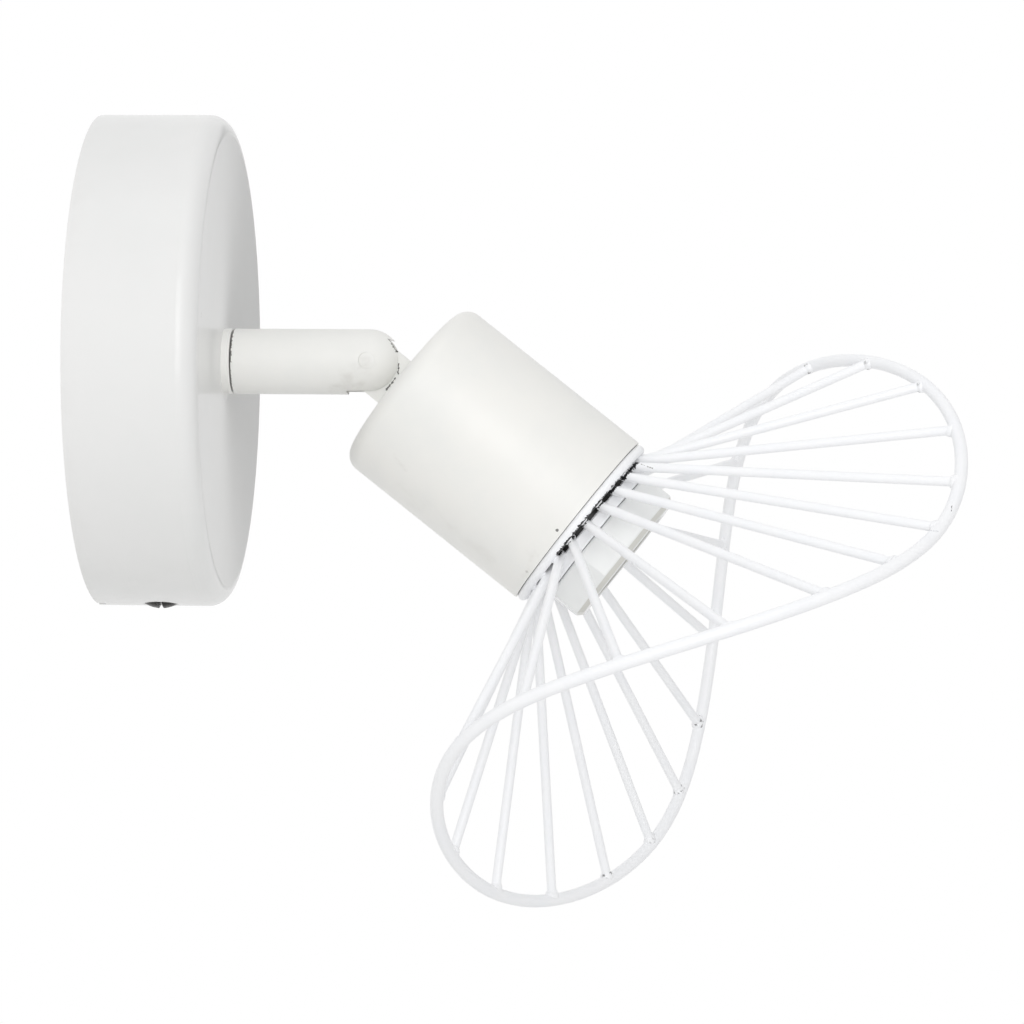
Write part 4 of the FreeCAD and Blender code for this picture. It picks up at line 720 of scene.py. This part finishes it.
def buildShell(settings):
    # rolled thread: r = R + w cos(2 pi h / pitch - a), faded out at both ends, as a thin sheet on a flange
    back, front = settings["back"], settings["front"]
    angle = np.linspace(0, 2 * math.pi, settings["columns"], endpoint=False)
    height = np.linspace(back + settings["flangeSheet"], front, settings["rows"])[:, None]
    fade = np.clip(np.minimum(height - back, front - height) / settings["lead"], 0, 1)
    swing = np.cos(2 * math.pi * height / settings["pitch"] - angle)
    inner = settings["radius"] + settings["wave"] * fade * swing
    outer = around(inner + settings["sheet"], angle, height)
    levels = (back, back + settings["flangeSheet"])
    brim = np.stack([around(settings["flange"], angle, level) for level in levels])
    seat = around(settings["radius"], angle, back)
    rows = np.concatenate([brim, outer, around(inner, angle, height)[::-1], seat[None]])
    piece = addPiece("rolledShell", onHead(rows)[None], "nickel", "lamp_head", True)
    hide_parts("threaded_shell")


buildShell(shell)
print("threads built")

shade = {
    "spokes": 24, "spokeTurn": 2.9, "spokeRadius": 0.00115,
    "ringRadius": 0.0226, "ringWire": 0.0012, "ringHeight": 0.0650, "washerRadius": 0.019,
    "rimDistance": 0.1061, "rimRadius": 0.0784, "saddleHeight": 0.0258, "saddleTurn": 47.1,
    "crestHeight": 0.0017, "crestInset": 0.0048, "cornerInset": 0.0023, "skewHeight": 0.0023,
    "skewOffset": 0.0024,
    # radians to each side between which the rim's heading is taken
    "headingStep": 1e-4,
}


def rimPoints(settings, turn):
    # the rim wire's centre line: reach and level are sums of cosines of the turn, twice and four times
    twice = 2 * (turn - math.radians(settings["saddleTurn"]))
    reach = (settings["rimRadius"] - settings["crestInset"] * np.cos(twice)
             - settings["cornerInset"] * np.cos(2 * twice) - settings["skewOffset"] * np.sin(turn))
    level = (settings["rimDistance"] + settings["saddleHeight"] * np.cos(twice)
             - settings["crestHeight"] * np.cos(2 * twice) + settings["skewHeight"] * np.sin(turn))
    return around(reach, math.pi - turn, level)


def unit(vectors):
    return vectors / np.linalg.norm(vectors, axis=-1, keepdims=True)


def spokeLines(settings):
    # for each spoke: the ring's centre line beside it, where the spoke's axis passes the ring, its heading,
    # where it meets the rim, the rim's heading there, and where it reaches the washer's radius
    turn = np.radians(settings["spokeTurn"] + 360.0 / settings["spokes"] * np.arange(settings["spokes"]))
    ends = rimPoints(settings, turn)
    step = settings["headingStep"]
    heading = unit(rimPoints(settings, turn + step) - rimPoints(settings, turn - step))
    outward = around(1.0, math.pi - turn, 0.0)
    ring = settings["ringRadius"] * outward + np.array([0, 0, settings["ringHeight"]])
    offset = settings["ringWire"] + settings["spokeRadius"]
    rise, run = ends[:, 2] - ring[:, 2], ((ends - ring) * outward).sum(-1)
    lean = np.arctan2(rise, run) + np.arccos(offset / np.hypot(rise, run))
    touch = ring + offset * (outward * np.cos(lean)[:, None] + np.array([0, 0, 1.0]) * np.sin(lean)[:, None])
    along = unit(ends - touch)
    beyond = ((touch * outward).sum(-1) - settings["washerRadius"])[:, None]
    inner = touch - along * beyond / (along * outward).sum(-1)[:, None]
    return ring, touch, along, ends, heading, inner


welds = {
    "rimSize": (0.00205, 0.00165, 0.0015), "rimBack": 0.0011,
    "ringSize": (0.0008, 0.0012, 0.0007), "washerSize": (0.00155, 0.0013, 0.00125),
    "lumps": 0.13, "waveShare": 0.5, "sizeSpread": 0.6, "rows": 13, "columns": 20, "seed": 11,
    # bare spots start at this level of the waves and are full one part in spotSlope above it
    "spotLevel": 0.55, "spotSlope": 6,
    # the share of finish lost in those spots, by the number of the spoke
    "worn": {6: 0.45, 7: 0.5, 8: 0.75, 13: 0.9, 14: 0.8, 15: 0.35, 16: 0.9, 2: 0.2},
}


def beads(settings, centres, first, second, sizes, random):
    # lumpy beads: c + k (s1 f1 cos t cos p, s2 f2 sin t cos p, s3 f3 sin p), k a sum of slow waves
    count = len(centres)
    pole = np.linspace(-math.pi / 2, math.pi / 2, settings["rows"])[None, :, None]
    turn = np.linspace(0, 2 * math.pi, settings["columns"], endpoint=False)[None, None, :]
    phase = random.uniform(0, 2 * math.pi, (6, count, 1, 1))
    waist = np.cos(pole)
    lumps = (np.sin(2 * turn + phase[0]) * waist + np.sin(3 * turn + phase[1]) * waist ** 2
             + np.sin(3 * pole + phase[2]) * waist + 0.6 * np.sin(5 * turn + 4 * pole + phase[3]) * waist)
    ownSize = random.uniform(-settings["sizeSpread"], settings["sizeSpread"], (count, 1, 1))
    scale = 1 + settings["lumps"] * (settings["waveShare"] * lumps + ownSize)
    third = unit(np.cross(first, second))
    second = np.cross(third, first)
    spans = (np.cos(turn) * waist, np.sin(turn) * waist, np.sin(pole) * np.ones_like(turn))
    grid = centres[:, None, None, :] * np.ones((1, settings["rows"], settings["columns"], 1))
    for axis, span, size in zip((first, second, third), spans, sizes):
        grid += (scale * span * size)[..., None] * axis[:, None, None, :]
    spots = (np.sin(3 * turn + phase[4]) * np.sin(4 * pole + phase[5])
             + 0.5 * np.sin(7 * turn + 5 * pole + phase[0]))
    return grid, np.clip((spots - settings["spotLevel"]) * settings["spotSlope"], 0, 1)


def buildWelds(settings):
    # three beads on each spoke, at the rim, at the base ring and at the washer; only the rim's are worn
    random = np.random.default_rng(settings["seed"])
    ring, touch, along, ends, heading, inner = spokeLines(shade)
    wear = np.zeros(shade["spokes"])
    wear[list(settings["worn"])] = list(settings["worn"].values())
    behind = ends - along * settings["rimBack"]
    atRim, bare = beads(settings, behind, heading, along, settings["rimSize"], random)
    across = unit(np.cross(along, touch - ring))
    atRing = beads(settings, (ring + touch) / 2, along, across, settings["ringSize"], random)[0]
    atWasher = beads(settings, inner, along, across, settings["washerSize"], random)[0]
    none = np.zeros_like(bare)
    addPiece("weldBeads", onHead(np.concatenate([atRim, atRing, atWasher])), "weldPaint", "lamp_head",
             worn=np.concatenate([bare * wear[:, None, None], none, none]))


buildWelds(welds)
print("welds built")
